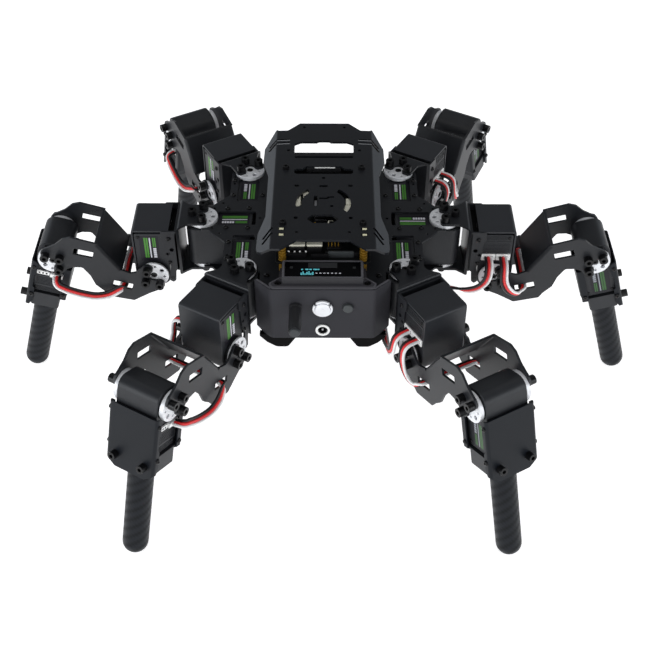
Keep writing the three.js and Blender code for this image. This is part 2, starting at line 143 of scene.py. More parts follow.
def bev(s, w, seg=2, angle=32):
    bm = to_bm(s)
    bmesh.ops.recalc_face_normals(bm, faces=bm.faces[:])
    es = [e for e in bm.edges if len(e.link_faces) == 2 and e.calc_face_angle(0) > angle * RAD]
    if es:
        bmesh.ops.bevel(bm, geom=es, offset=w, offset_type="OFFSET", segments=seg, profile=0.5, affect="EDGES", clamp_overlap=True)
    return from_bm(bm)


def place(p, w, plane):
    u, v = p
    return {"xy": (u, v, w), "xz": (u, w, v), "yz": (w, u, v)}[plane]


def ext(pts, a, b, plane="xy", holes=(), w=0.25, seg=2):
    """A polygon with holes, extruded from a to b."""
    loops = [list(pts)] + [list(h) for h in holes]
    bm = bmesh.new()
    ids, edges = [], []
    flat = []
    for loop in loops:
        vs = [bm.verts.new((p[0], p[1], 0)) for p in loop]
        ids.append(vs)
        flat += vs
        edges += [bm.edges.new((vs[i], vs[(i + 1) % len(vs)])) for i in range(len(vs))]
    if len(loops) == 1:
        bm.faces.new(ids[0])
    else:
        bmesh.ops.triangle_fill(bm, use_beauty=True, use_dissolve=False, edges=edges, normal=(0, 0, 1))
    bm.verts.index_update()
    n = len(bm.verts)
    caps = [[v.index for v in f.verts] for f in bm.faces]
    co = [(v.co.x, v.co.y) for v in bm.verts]
    rings = [[v.index for v in vs] for vs in ids]
    bm.free()
    verts = [place(p, a, plane) for p in co] + [place(p, b, plane) for p in co]
    faces = [q[::-1] for q in caps] + [[i + n for i in q] for q in caps]
    for ring in rings:
        k = len(ring)
        faces += [[ring[i], ring[(i + 1) % k], ring[(i + 1) % k] + n, ring[i] + n] for i in range(k)]
    s = outward(Shape(verts, faces))
    return bev(s, w, seg) if w else s


def circle(r, cx=0, cy=0, n=24, a0=0):
    return [(cx + r * math.cos((a0 + 360 * i / n) * RAD), cy + r * math.sin((a0 + 360 * i / n) * RAD)) for i in range(n)]


def arcp(cx, cy, r, a0, a1, n):
    return [(cx + r * math.cos((a0 + (a1 - a0) * i / n) * RAD), cy + r * math.sin((a0 + (a1 - a0) * i / n) * RAD)) for i in range(n + 1)]


def fillet(pts, r, n=4):
    """The polygon with its corners rounded; r is one radius or one per corner."""
    k, out = len(pts), []
    for i in range(k):
        rr = r if isinstance(r, (int, float)) else r[i]
        p0, p, p1 = (Vector(pts[(i + d) % k]) for d in (-1, 0, 1))
        a, b = (p0 - p), (p1 - p)
        la, lb = a.length, b.length
        if rr <= 0 or la < 1e-6 or lb < 1e-6:
            out.append(tuple(p))
            continue
        a, b = a / la, b / lb
        ang = math.acos(max(-1, min(1, a.dot(b))))
        if ang > 176 * RAD:
            out.append(tuple(p))
            continue
        d = min(rr / math.tan(ang / 2), la * 0.48, lb * 0.48)
        rad = d * math.tan(ang / 2)
        c = p + (a + b).normalized() * (rad / math.sin(ang / 2))
        s, e = p + a * d, p + b * d
        v0, v1 = s - c, e - c
        t = math.atan2(v0.x * v1.y - v0.y * v1.x, v0.dot(v1))
        for j in range(n + 1):
            q = t * j / n
            out.append((c.x + v0.x * math.cos(q) - v0.y * math.sin(q), c.y + v0.x * math.sin(q) + v0.y * math.cos(q)))
    return out


def rrect(x0, x1, y0, y1, r, n=3):
    return fillet([(x0, y0), (x1, y0), (x1, y1), (x0, y1)], r, n)


def block(x0, x1, y0, y1, z0, z1, w=0.3, seg=2, r=0):
    return ext(rrect(x0, x1, y0, y1, r) if r else [(x0, y0), (x1, y0), (x1, y1), (x0, y1)], z0, z1, "xy", w=w, seg=seg)


def lathe(profile, axis="z", n=32, c=(0, 0)):
    """profile is (radius, height) from the axis round to the axis."""
    verts, rings = [], []
    for r, h in profile:
        if r < 1e-6:
            rings.append([len(verts)])
            verts.append((0, 0, h))
        else:
            rings.append(list(range(len(verts), len(verts) + n)))
            verts += [(r * math.cos(2 * math.pi * i / n), r * math.sin(2 * math.pi * i / n), h) for i in range(n)]
    faces = []
    for A, B in zip(rings, rings[1:]):
        for i in range(n):
            j = (i + 1) % n
            q = [A[i % len(A)], A[j % len(A)], B[j % len(B)], B[i % len(B)]]
            q = [x for k, x in enumerate(q) if x not in q[:k]]
            if len(q) > 2:
                faces.append(q)
    s = outward(Shape(verts, faces))
    if axis == "y":
        s = s.by(Matrix(((1, 0, 0, c[0]), (0, 0, 1, 0), (0, 1, 0, c[1]), (0, 0, 0, 1))))
    elif axis == "x":
        s = s.by(Matrix(((0, 0, 1, 0), (0, 1, 0, c[0]), (1, 0, 0, c[1]), (0, 0, 0, 1))))
    else:
        s = s.move(c[0], c[1], 0)
    return s


def cyl(r, a, b, axis="z", c=(0, 0), n=32, w=0.2, r2=None):
    r2 = r if r2 is None else r2
    w = min(w, abs(b - a) * 0.3, r * 0.3)
    d = 1 if b > a else -1
    return lathe([(0, a), (r - w, a), (r, a + d * w), (r2, b - d * w), (r2 - w, b), (0, b)], axis, n, c)


def cap_screw(r=3.3, h=4.8, n=20):
    """Socket head, seat at 0, growing along +z: a solid foot and a ring round a hex socket."""
    ring = ext(circle(r, n=n), h * 0.45, h, "xy", holes=[circle(r * 0.5, n=6)], w=0.22, seg=2)
    foot = ext(circle(r, n=n), 0, h * 0.45 + 0.02, "xy", w=0)
    return foot + ring


def pan_screw(r=2.4, h=1.6, n=20):
    dome = lathe([(0, 0), (r, 0), (r, h * 0.35), (r * 0.9, h * 0.72), (r * 0.62, h * 0.95), (r * 0.45, h), (r * 0.42, h * 0.55), (0, h * 0.5)], "z", n)
    return dome


def aim(s, at, axis):
    """Stands a +z shape at a point, pointing along a signed axis such as '-y'."""
    q = {"x": Vector((1, 0, 0)), "y": Vector((0, 1, 0)), "z": Vector((0, 0, 1))}[axis[-1]]
    if axis[0] == "-":
        q = -q
    M = q.to_track_quat("Z", "Y").to_matrix().to_4x4()
    M.translation = Vector(at)
    return s.by(M)


_tmp = []


def temp(s):
    me = bpy.data.meshes.new("tmp")
    me.from_pydata([tuple(p) for p in s.v], [], s.f)
    for k in range(max(s.m, default=0) + 1):
        me.materials.append(None)
    me.polygons.foreach_set("material_index", s.m)
    o = bpy.data.objects.new("tmp", me)
    bpy.context.scene.collection.objects.link(o)
    return o


def boolean(a, b, op="DIFFERENCE"):
    oa, ob = temp(outward(a)), temp(outward(b))
    mod = oa.modifiers.new("b", "BOOLEAN")
    mod.operation, mod.object, mod.solver, mod.use_self = op, ob, "EXACT", True
    dg = bpy.context.evaluated_depsgraph_get()
    me = bpy.data.meshes.new_from_object(oa.evaluated_get(dg))
    s = Shape([v.co.copy() for v in me.vertices], [list(p.vertices) for p in me.polygons], [p.material_index for p in me.polygons])
    for o in (oa, ob):
        d = o.data
        bpy.data.objects.remove(o)
        bpy.data.meshes.remove(d)
    bpy.data.meshes.remove(me)
    if not s.f:
        raise RuntimeError("empty boolean")
    return s


def tidy(s, dist=0.004, flat=1.0):
    """Merges the slivers a boolean leaves and joins its coplanar faces."""
    bm = to_bm(s)
    bmesh.ops.remove_doubles(bm, verts=bm.verts[:], dist=dist)
    bmesh.ops.dissolve_limit(bm, angle_limit=flat * RAD, use_dissolve_boundaries=False, verts=bm.verts[:], edges=bm.edges[:], delimit={"MATERIAL"})
    return from_bm(bm)


def spline(pts, per=6):
    """Centripetal-like smooth curve through the points."""
    P = [Vector(p) for p in pts]
    out = []
    for i in range(len(P) - 1):
        p0 = P[i - 1] if i else P[0] * 2 - P[1]
        p1, p2 = P[i], P[i + 1]
        p3 = P[i + 2] if i + 2 < len(P) else P[-1] * 2 - P[-2]
        for k in range(per):
            t = k / per
            out.append(0.5 * ((2 * p1) + (p2 - p0) * t + (2 * p0 - 5 * p1 + 4 * p2 - p3) * t * t + (3 * p1 - p0 - 3 * p2 + p3) * t ** 3))
    out.append(P[-1])
    return out


def strand(centre, side, off, r, n=10):
    """One round wire that runs beside a centre line, off to a side."""
    rings, verts, faces = [], [], []
    k = len(centre)
    for i, (c, s) in enumerate(zip(centre, side)):
        t = (centre[min(i + 1, k - 1)] - centre[max(i - 1, 0)]).normalized()
        s = (s - t * s.dot(t)).normalized()
        up = t.cross(s)
        p = c + s * off
        rings.append(list(range(len(verts), len(verts) + n)))
        verts += [p + (s * math.cos(2 * math.pi * j / n) + up * math.sin(2 * math.pi * j / n)) * r for j in range(n)]
    for A, B in zip(rings, rings[1:]):
        faces += [[A[j], A[(j + 1) % n], B[(j + 1) % n], B[j]] for j in range(n)]
    faces += [rings[0][::-1], rings[-1]]
    return outward(Shape(verts, faces))


def ribbon(pts, normals, pitch=2.4, r=1.22, per=6, mats=(0, 1, 2), n=10):
    """Three wires side by side along a path; normals say which way the flat side faces at each point."""
    c = spline(pts, per)
    N = [v.normalized() for v in spline(normals, per)]
    side = []
    for i in range(len(c)):
        t = (c[min(i + 1, len(c) - 1)] - c[max(i - 1, 0)]).normalized()
        side.append(t.cross(N[i]).normalized())
    return total([strand(c, side, (k - 1) * pitch, r, n).mat(m) for k, m in enumerate(mats)])


# ------------------------------------------------------------ materials
def nodes_of(m):
    m.use_nodes = True
    nt = m.node_tree
    return nt, nt.nodes, nt.links, nt.nodes["Principled BSDF"]


def surface(name, color, rough=0.5, metal=0.0, grain=900.0, bump=0.02, depth=0.0002, col_var=0.12, rough_var=0.08, blotch=60.0,
            coat=0.0, spec=0.5, stretch=(1, 1, 1), tint=None, sheen=0.0):
    """A procedural finish: fine grain in the bump, slow variation in colour and roughness."""
    m = bpy.data.materials.new(name)
    nt, N, L, B = nodes_of(m)
    B.inputs["Metallic"].default_value = metal
    B.inputs["Specular IOR Level"].default_value = spec
    B.inputs["Coat Weight"].default_value = coat
    B.inputs["Coat Roughness"].default_value = 0.15
    tc = N.new("ShaderNodeTexCoord")
    mp = N.new("ShaderNodeMapping")
    mp.inputs["Scale"].default_value = stretch
    L.new(tc.outputs["Object"], mp.inputs["Vector"])
    big = N.new("ShaderNodeTexNoise")
    big.inputs["Scale"].default_value = blotch
    big.inputs["Detail"].default_value = 3
    L.new(mp.outputs[0], big.inputs["Vector"])
    fine = N.new("ShaderNodeTexNoise")
    fine.inputs["Scale"].default_value = grain
    fine.inputs["Detail"].default_value = 4
    L.new(mp.outputs[0], fine.inputs["Vector"])
    ramp = N.new("ShaderNodeMix")
    ramp.data_type = "RGBA"
    lo = [c * (1 - col_var) for c in color]
    hi = [min(1, c * (1 + col_var)) for c in (tint or color)]
    ramp.inputs["A"].default_value = (*lo, 1)
    ramp.inputs["B"].default_value = (*hi, 1)
    L.new(big.outputs["Fac"], ramp.inputs["Factor"])
    L.new(ramp.outputs["Result"], B.inputs["Base Color"])
    rr = N.new("ShaderNodeMapRange")
    rr.inputs["To Min"].default_value = max(0.02, rough - rough_var)
    rr.inputs["To Max"].default_value = min(1, rough + rough_var)
    L.new(fine.outputs["Fac"], rr.inputs["Value"])
    L.new(rr.outputs[0], B.inputs["Roughness"])
    if bump:
        bp = N.new("ShaderNodeBump")
        bp.inputs["Strength"].default_value = bump
        bp.inputs["Distance"].default_value = depth
        L.new(fine.outputs["Fac"], bp.inputs["Height"])
        L.new(bp.outputs[0], B.inputs["Normal"])
    return m


M = {}
M["sheet"] = surface("anodised_sheet", (0.0128, 0.0140, 0.0172), 0.40, 0.0, 2600, 0.10, 0.0001, 0.10, 0.06, 40, spec=0.36)
# darker copy of the anodised sheet for the lower plate and its pillars under the body: painted shade
M["sheet_dark"] = surface("anodised_sheet_painted_shade", (0.0062, 0.0068, 0.0086), 0.44, 0.0, 2600, 0.10, 0.0001, 0.10, 0.06, 40, spec=0.25)
# the deck's dark anodised colour, set darker than the leg sheet: partly its own colour, partly painted shade for the
# upward-facing deck
M["deck_sheet"] = surface("anodised_deck_with_painted_shade", (0.0086, 0.0096, 0.0124), 0.34, 0.0, 2600, 0.10, 0.0001, 0.10, 0.05, 40, spec=0.45)
M["case"] = surface("servo_case", (0.0185, 0.0200, 0.0235), 0.44, 0.0, 1500, 0.22, 0.0002, 0.15, 0.08, 80, spec=0.34)
M["panel"] = surface("panel_plastic", (0.0385, 0.0383, 0.0440), 0.50, 0.0, 1800, 0.18, 0.00015, 0.06, 0.05, 30, spec=0.09)
M["panel_edge"] = surface("panel_roof", (0.0430, 0.0420, 0.0490), 0.46, 0.0, 1800, 0.18, 0.00015, 0.06, 0.05, 30, spec=0.34)
M["silver"] = surface("machined_aluminium", (0.86, 0.87, 0.90), 0.40, 0.22, 900, 0.10, 0.0001, 0.10, 0.08, 120)
M["black_screw"] = surface("black_oxide_screw", (0.0042, 0.0042, 0.0050), 0.33, 0.0, 2200, 0.08, 0.0001, 0.15, 0.08, 200, spec=0.30)
M["steel"] = surface("steel", (0.5, 0.5, 0.52), 0.3, 0.9, 1200, 0.08, 0.0001, 0.08, 0.06, 150)
M["brass"] = surface("brass", (0.30, 0.165, 0.018), 0.34, 0.4, 900, 0.08, 0.0001, 0.12, 0.06, 100)
M["gold_pad"] = surface("gold_pad", (0.96, 0.90, 0.62), 0.34, 0.1, 900, 0.08, 0.0001, 0.08, 0.06, 100)
M["white_plug"] = surface("nylon_plug", (0.92, 0.92, 0.91), 0.45, 0.0, 900, 0.08, 0.0002, 0.04, 0.06, 60)
M["cream"] = surface("cream_connector", (0.95, 0.93, 0.78), 0.5, 0.0, 900, 0.1, 0.0002, 0.05, 0.06, 60)
M["wire_white"] = surface("wire_white", (0.92, 0.92, 0.93), 0.42, 0.0, 700, 0.08, 0.0002, 0.03, 0.05, 60)
M["wire_red"] = surface("wire_red", (0.82, 0.030, 0.032), 0.40, 0.0, 700, 0.08, 0.0002, 0.08, 0.05, 60)
M["wire_black"] = surface("wire_black", (0.008, 0.008, 0.010), 0.40, 0.0, 700, 0.08, 0.0002, 0.08, 0.05, 60, spec=0.4)
M["label"] = surface("label_film", (0.0085, 0.0070, 0.0125), 0.35, 0.0, 900, 0.03, 0.0001, 0.10, 0.06, 60, spec=0.3)
M["label_green"] = surface("label_green", (0.074, 0.265, 0.036), 0.38, 0.0, 900, 0.03, 0.0001, 0.10, 0.05, 60, spec=0.3)
M["label_white"] = surface("label_white", (0.72, 0.72, 0.78), 0.38, 0.0, 900, 0.03, 0.0001, 0.05, 0.05, 60, spec=0.3)
# darker copies of the label green and white for the knee servos: painted shade over the same print the other servos
# carry
M["green_dim"] = surface("label_green_in_painted_shade", (0.046, 0.130, 0.040), 0.38, 0.0, 900, 0.03, 0.0001, 0.10, 0.05, 60, spec=0.3)
M["white_dim"] = surface("label_white_in_painted_shade", (0.30, 0.32, 0.35), 0.38, 0.0, 900, 0.03, 0.0001, 0.05, 0.05, 60, spec=0.3)
M["sleeve"] = surface("antenna_sleeve", (0.0200, 0.0204, 0.0225), 0.5, 0.0, 1500, 0.20, 0.0002, 0.10, 0.06, 60, spec=0.3)
M["bezel_body"] = surface("bezel_body", (0.034, 0.0335, 0.0375), 0.5, 0.0, 1800, 0.12, 0.00015, 0.06, 0.05, 30, spec=0.3)
M["rubber"] = surface("rubber", (0.0075, 0.0075, 0.0088), 0.58, 0.0, 1500, 0.25, 0.0002, 0.12, 0.06, 60, spec=0.3)
M["pcb"] = surface("solder_mask", (0.006, 0.007, 0.007), 0.35, 0.0, 600, 0.12, 0.0002, 0.3, 0.08, 220, spec=0.35)
M["chip"] = surface("chip", (0.007, 0.007, 0.008), 0.4, 0.0, 1200, 0.12, 0.0002, 0.1, 0.05, 60, spec=0.35)
M["wrap"] = surface("battery_wrap", (0.009, 0.011, 0.020), 0.35, 0.0, 300, 0.25, 0.0004, 0.15, 0.08, 40, spec=0.4)
M["key"] = surface("key_cap", (0.050, 0.056, 0.058), 0.5, 0.0, 1500, 0.15, 0.0002, 0.08, 0.05, 60, spec=0.35)
M["tip"] = surface("antenna_tip", (0.040, 0.044, 0.048), 0.5, 0.0, 1500, 0.15, 0.0002, 0.08, 0.05, 60, spec=0.35)
# light strips beside the rear slits: painted highlights on the slits' edges
M["slit_edge"] = surface("slit_edge", (0.34, 0.345, 0.36), 0.38, 0.0, 2600, 0.08, 0.0001, 0.10, 0.06, 40, spec=0.4)
# near-black finish: the skids' own black moulding darkened further as painted shade under the body, and the dark
# fillers that stand for shade in the horn discs, under the coxa plate's lip and under the deck's rear slots
M["skid"] = surface("skid_and_painted_shade_moulding", (0.0016, 0.0016, 0.0020), 0.5, 0.0, 1500, 0.15, 0.0002, 0.12, 0.06, 60, spec=0.06)
# light grey finish for the roof rim, the folded ribs and the frame on the bezel's face: painted highlights on those
# edges
M["bezel"] = surface("painted_edge_highlight_plastic", (0.092, 0.090, 0.102), 0.42, 0.0, 1800, 0.12, 0.00015, 0.06, 0.05, 30, spec=0.4)
M["cover"] = surface("cage_cover", (0.0225, 0.0243, 0.0290), 0.46, 0.0, 2600, 0.10, 0.0001, 0.10, 0.06, 40, spec=0.36)
M["tib"] = surface("anodised_tibia", (0.0056, 0.0074, 0.0110), 0.42, 0.0, 2600, 0.10, 0.0001, 0.10, 0.06, 40, spec=0.21)
# grey film on the display: the wide patch at the upper centre is a painted reflection, the two small squares are plain
# grey
M["film"] = surface("display_grey_film_and_painted_reflection", (0.020, 0.021, 0.023), 0.4, 0.0, 900, 0.0, 0.0001, 0.1, 0.05, 60, spec=0.2)
M["screen_ink"] = surface("screen_glow", (0.16, 0.80, 0.95), 0.4, 0.0, 600, 0.0, 0.0002, 0.15, 0.05, 400)


def carbon():
    """Carbon-look tube: diagonal tows wound round the tube, crossed by a finer weave, under a satin coat."""
    m = bpy.data.materials.new("carbon_tube")
    nt, N, L, B = nodes_of(m)

    def math_(op, a, b=None, val=None):
        n = N.new("ShaderNodeMath")
        n.operation = op
        L.new(a, n.inputs[0])
        if b is not None:
            L.new(b, n.inputs[1])
        elif val is not None:
            n.inputs[1].default_value = val
        return n.outputs[0]
    tc = N.new("ShaderNodeTexCoord")
    sep = N.new("ShaderNodeSeparateXYZ")
    L.new(tc.outputs["Object"], sep.inputs[0])
    ang = math_("MULTIPLY", math_("ARCTAN2", sep.outputs["Y"], sep.outputs["Z"]), val=1 / (2 * math.pi))
    run = math_("MULTIPLY", sep.outputs["X"], val=1 / 0.0085)
    tow = math_("PINGPONG", math_("ADD", run, math_("MULTIPLY", ang, val=5.0)), val=0.5)
    cross = math_("PINGPONG", math_("SUBTRACT", math_("MULTIPLY", run, val=2.0), math_("MULTIPLY", ang, val=20.0)), val=0.5)
    both_ = math_("ADD", math_("MULTIPLY", tow, val=1.55), math_("MULTIPLY", cross, val=0.45))
    noise = N.new("ShaderNodeTexNoise"); noise.inputs["Scale"].default_value = 150; noise.inputs["Detail"].default_value = 4
    L.new(tc.outputs["Object"], noise.inputs["Vector"])
    fac = math_("ADD", both_, math_("MULTIPLY", noise.outputs["Fac"], val=0.35))
    ramp = N.new("ShaderNodeMapRange"); ramp.interpolation_type = "SMOOTHSTEP"
    ramp.inputs["From Min"].default_value = 0.25; ramp.inputs["From Max"].default_value = 1.0
    L.new(fac, ramp.inputs["Value"])
    mix = N.new("ShaderNodeMix"); mix.data_type = "RGBA"
    mix.inputs["A"].default_value = (0.0034, 0.0044, 0.0064, 1); mix.inputs["B"].default_value = (0.0090, 0.0110, 0.0150, 1)
    L.new(ramp.outputs[0], mix.inputs["Factor"])
    L.new(mix.outputs["Result"], B.inputs["Base Color"])
    mr = N.new("ShaderNodeMapRange"); mr.inputs["To Min"].default_value = 0.52; mr.inputs["To Max"].default_value = 0.34
    L.new(ramp.outputs[0], mr.inputs["Value"]); L.new(mr.outputs[0], B.inputs["Roughness"])
    bp = N.new("ShaderNodeBump"); bp.inputs["Strength"].default_value = 0.25; bp.inputs["Distance"].default_value = 0.0002
    L.new(both_, bp.inputs["Height"]); L.new(bp.outputs[0], B.inputs["Normal"])
    B.inputs["Specular IOR Level"].default_value = 0.165
    return m


M["carbon"] = carbon()


def glass():
    """Black-backed display glass."""
    m = surface("display_glass", (0.0015, 0.0016, 0.0022), 0.25, 0.0, 900, 0.0, 0.0001, 0.4, 0.02, 90, spec=0.05)
    return m


M["glass"] = glass()

SLOT = {"sheet": "sheet_metal", "sheet_dark": "sheet_metal", "case": "servo_case", "panel": "panel_plastic", "panel_edge": "panel_plastic",
        "silver": "plated_metal", "black_screw": "sheet_metal", "steel": "plated_metal", "brass": "plated_metal", "white_plug": "servo_case",
        "cream": "circuit_board", "deck_sheet": "sheet_metal", "gold_pad": "plated_metal", "film": "screen_glass", "tib": "sheet_metal", "cover": "sheet_metal", "bezel": "panel_plastic", "slit_edge": "sheet_metal", "skid": "sheet_metal", "wire_white": "lead_wire", "wire_red": "lead_wire", "wire_black": "lead_wire", "label": "servo_case",
        "label_green": "servo_case", "label_white": "servo_case", "green_dim": "servo_case", "white_dim": "servo_case", "sleeve": "antenna_rubber", "bezel_body": "panel_plastic", "rubber": "antenna_rubber", "pcb": "circuit_board", "chip": "circuit_board",
        "wrap": "battery_wrap", "key": "panel_plastic", "tip": "antenna_rubber", "screen_ink": "screen_glass", "carbon": "foot_tube", "glass": "screen_glass"}


# ------------------------------------------------------------ pieces
def mesh(name, parts, smooth=34):
    """parts: a list of (material key, shape). One mesh, one slot per material."""
    keys = []
    shape = Shape([], [])
    for key, s in parts:
        if isinstance(key, str):
            if key not in keys:
                keys.append(key)
            s = s.mat(keys.index(key))
        else:  # several keys: the shape already holds indices into this list
            for q in key:
                if q not in keys:
                    keys.append(q)
            s = Shape(s.v, s.f, [keys.index(key[i]) for i in s.m])
        shape = shape + s
    me = bpy.data.meshes.new(name)
    me.from_pydata([tuple(p * MM) for p in shape.v], [], shape.f)
    for k in keys:
        me.materials.append(M[k])
    me.polygons.foreach_set("material_index", shape.m)
    me.polygons.foreach_set("use_smooth", [True] * len(me.polygons))
    me.set_sharp_from_angle(angle=smooth * RAD)
    me.validate()
    me.update()
    me["slot"] = SLOT[keys[0]]
    return me


def piece(name, me, body, at=Matrix.Identity(4), replaces=(), ride=True):
    o = bpy.data.objects.new(name, me)
    bpy.context.scene.collection.objects.link(o)
    o.matrix_world = at
    wn = o.modifiers.new("normals", "WEIGHTED_NORMAL")
    wn.keep_sharp = True
    wn.weight = 80
    if ride:
        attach(o, body)
    if replaces:
        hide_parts(*replaces)
    return o


def tr(x=0, y=0, z=0):
    return Matrix.Translation((x * MM, y * MM, z * MM))


def rot(deg, axis):
    return Matrix.Rotation(deg * RAD, 4, axis)


BODY = tr(0, 0, H)
FRAMES = {}
for n, (cx, cy, head, way) in COXA.items():
    leg = BODY @ tr(cx, cy, 0) @ rot(head, "Z")
    femur = leg @ tr(FX, 0, FZ) @ rot(-PITCH, "Y")
    tibia = femur @ tr(L2, 0, 0) @ rot(BEND, "Y")
    coxa = BODY @ tr(cx, cy, -22.6) @ rot(way, "Z") @ rot(90, "X")
    FRAMES[n] = {"leg": leg, "femur": femur, "tibia": tibia, "coxa": coxa, "fservo": leg @ tr(FX, 0, FZ) @ rot(-90, "Y")}


# ---- the servo, horn axis along y, case along +x, label on +y, lead sockets on -y
def servo(name="servo", green="label_green", white="label_white"):
    S, Lg, T, A = 13.6, 40.8, 13.6, 18.3

    def outline(d=0.0):
        p = [(-S + d, -T + d), (Lg - d, -T + d), (Lg - d, T - d), (-S + d, T - d)]
        return fillet(p, [8.6, 1.6, 1.6, 8.6], 6)

    parts = [("case", ext(outline(), -A, A, "xz", w=0.6, seg=3)),
             # raised bosses round the horn, and the rim at the far end
             ("case", cyl(10.6, 18.2, 18.75, "y", n=40, w=0.15)), ("case", cyl(8.4, -18.2, -18.75, "y", n=40, w=0.15)),
             ("black_screw", cyl(5.2, 18.6, 18.9, "y", n=24, w=0.05))]
    for x in (-9.4, 37.2):
        for z in (-10.2, 10.2):
            if x < 0:
                z *= 0.72
            for y, a in ((A - 0.15, "y"), (-A + 0.15, "-y")):
                parts.append(("black_screw", aim(pan_screw(1.7, 0.8, 14), (x, y, z), a)))
    # label film with its stripes
    parts.append(("label", ext(rrect(12.4, 38.4, -9.7, 6.5, 0.8), A - 0.05, A + 0.1, "xz", w=0.03, seg=1)))
    y0, y1 = A + 0.02, A + 0.15
    bars = [(1.5, 4.1, 15.8 + i * 2.12, 17.5 + i * 2.12, white) for i in range(5)]
    for z0, z1, x0, x1, k in [(-5.6, -4.1, 15.8, 36.9, green), (-3.7, -2.3, 15.8, 36.9, green), (-1.2, -0.2, 15.8, 36.9, white),
                              (1.5, 2.6, 27.0, 36.9, green), (3.0, 4.1, 27.0, 36.9, green)] + bars:
        parts.append((k, ext(rrect(x0, x1, z0, z1, 0.3, 2), y0, y1, "xz", w=0.02, seg=1)))
    # sockets, recess frame and ribs on the -y face
    yb = -A
    parts.append(("case", ext(rrect(22.6, 34.4, -12.4, 12.4, 1.2), yb - 0.35, yb + 0.1, "xz", holes=[rrect(24, 33, -11.2, 11.2, 0.8)], w=0.12, seg=1)))
    for i in range(6):
        x = 24.9 + i * 1.45
        parts.append(("case", ext(rrect(x, x + 0.7, -10.8, 10.8, 0.2, 2), yb - 0.3, yb + 0.1, "xz", w=0.1, seg=1)))
    for i in range(5):
        x = 35.4 + i * 0.95
        parts.append(("case", ext(rrect(x, x + 0.45, -11.6, 11.6, 0.1, 2), yb - 0.25, yb + 0.1, "xz", w=0.06, seg=1)))
    # side grooves on the middle section
    for z in (-1, 1):
        for i in range(4):
            x = 12 + i * 6.5
            parts.append(("case", ext(rrect(x, x + 4.2, -7.6, 7.6, 0.8), *(sorted((z * 13.2, z * 13.5))), "xy", w=0.1, seg=1)))
    return mesh(name, parts)


def horn_disc(y0, y1, out, centre=(0, 0), turn=45):
    """A horn disc between y0 and y1 with its screw holes; out says which face shows (+1 or -1)."""
    holes = [circle(1.8, centre[0] + 8.5 * math.cos((turn + 90 * k) * RAD), centre[1] + 8.5 * math.sin((turn + 90 * k) * RAD), 14) for k in range(4)]
    holes += [circle(1.1, centre[0] + 8.9 * math.cos((turn + 45 + 90 * k) * RAD), centre[1] + 8.9 * math.sin((turn + 45 + 90 * k) * RAD), 10) for k in range(4)]
    disc = ext(circle(HORN, *centre, 48), y0, y1, "xz", holes=holes + [circle(2.9, *centre, 20)], w=0.3, seg=2)
    # near-black floor inside the disc, seen through its holes: painted shade
    floor = cyl(11.2, y0 + 0.05, y0 + 0.5, "y", centre, 40, 0.02) if out > 0 else cyl(11.2, y1 - 0.5, y1 - 0.05, "y", centre, 40, 0.02)
    head = aim(cap_screw(2.5, 1.7, 18), (centre[0], (y1 - 1.9) if out > 0 else (y0 + 1.9), centre[1]), "y" if out > 0 else "-y")
    return [("silver", disc), ("skid", floor), ("black_screw", head)]


def upright(parts):
    """Turns parts made round the y axis so that y becomes z."""
    R = Matrix.Rotation(90 * RAD, 4, "X")
    return [(k, s.by(R)) for k, s in parts]


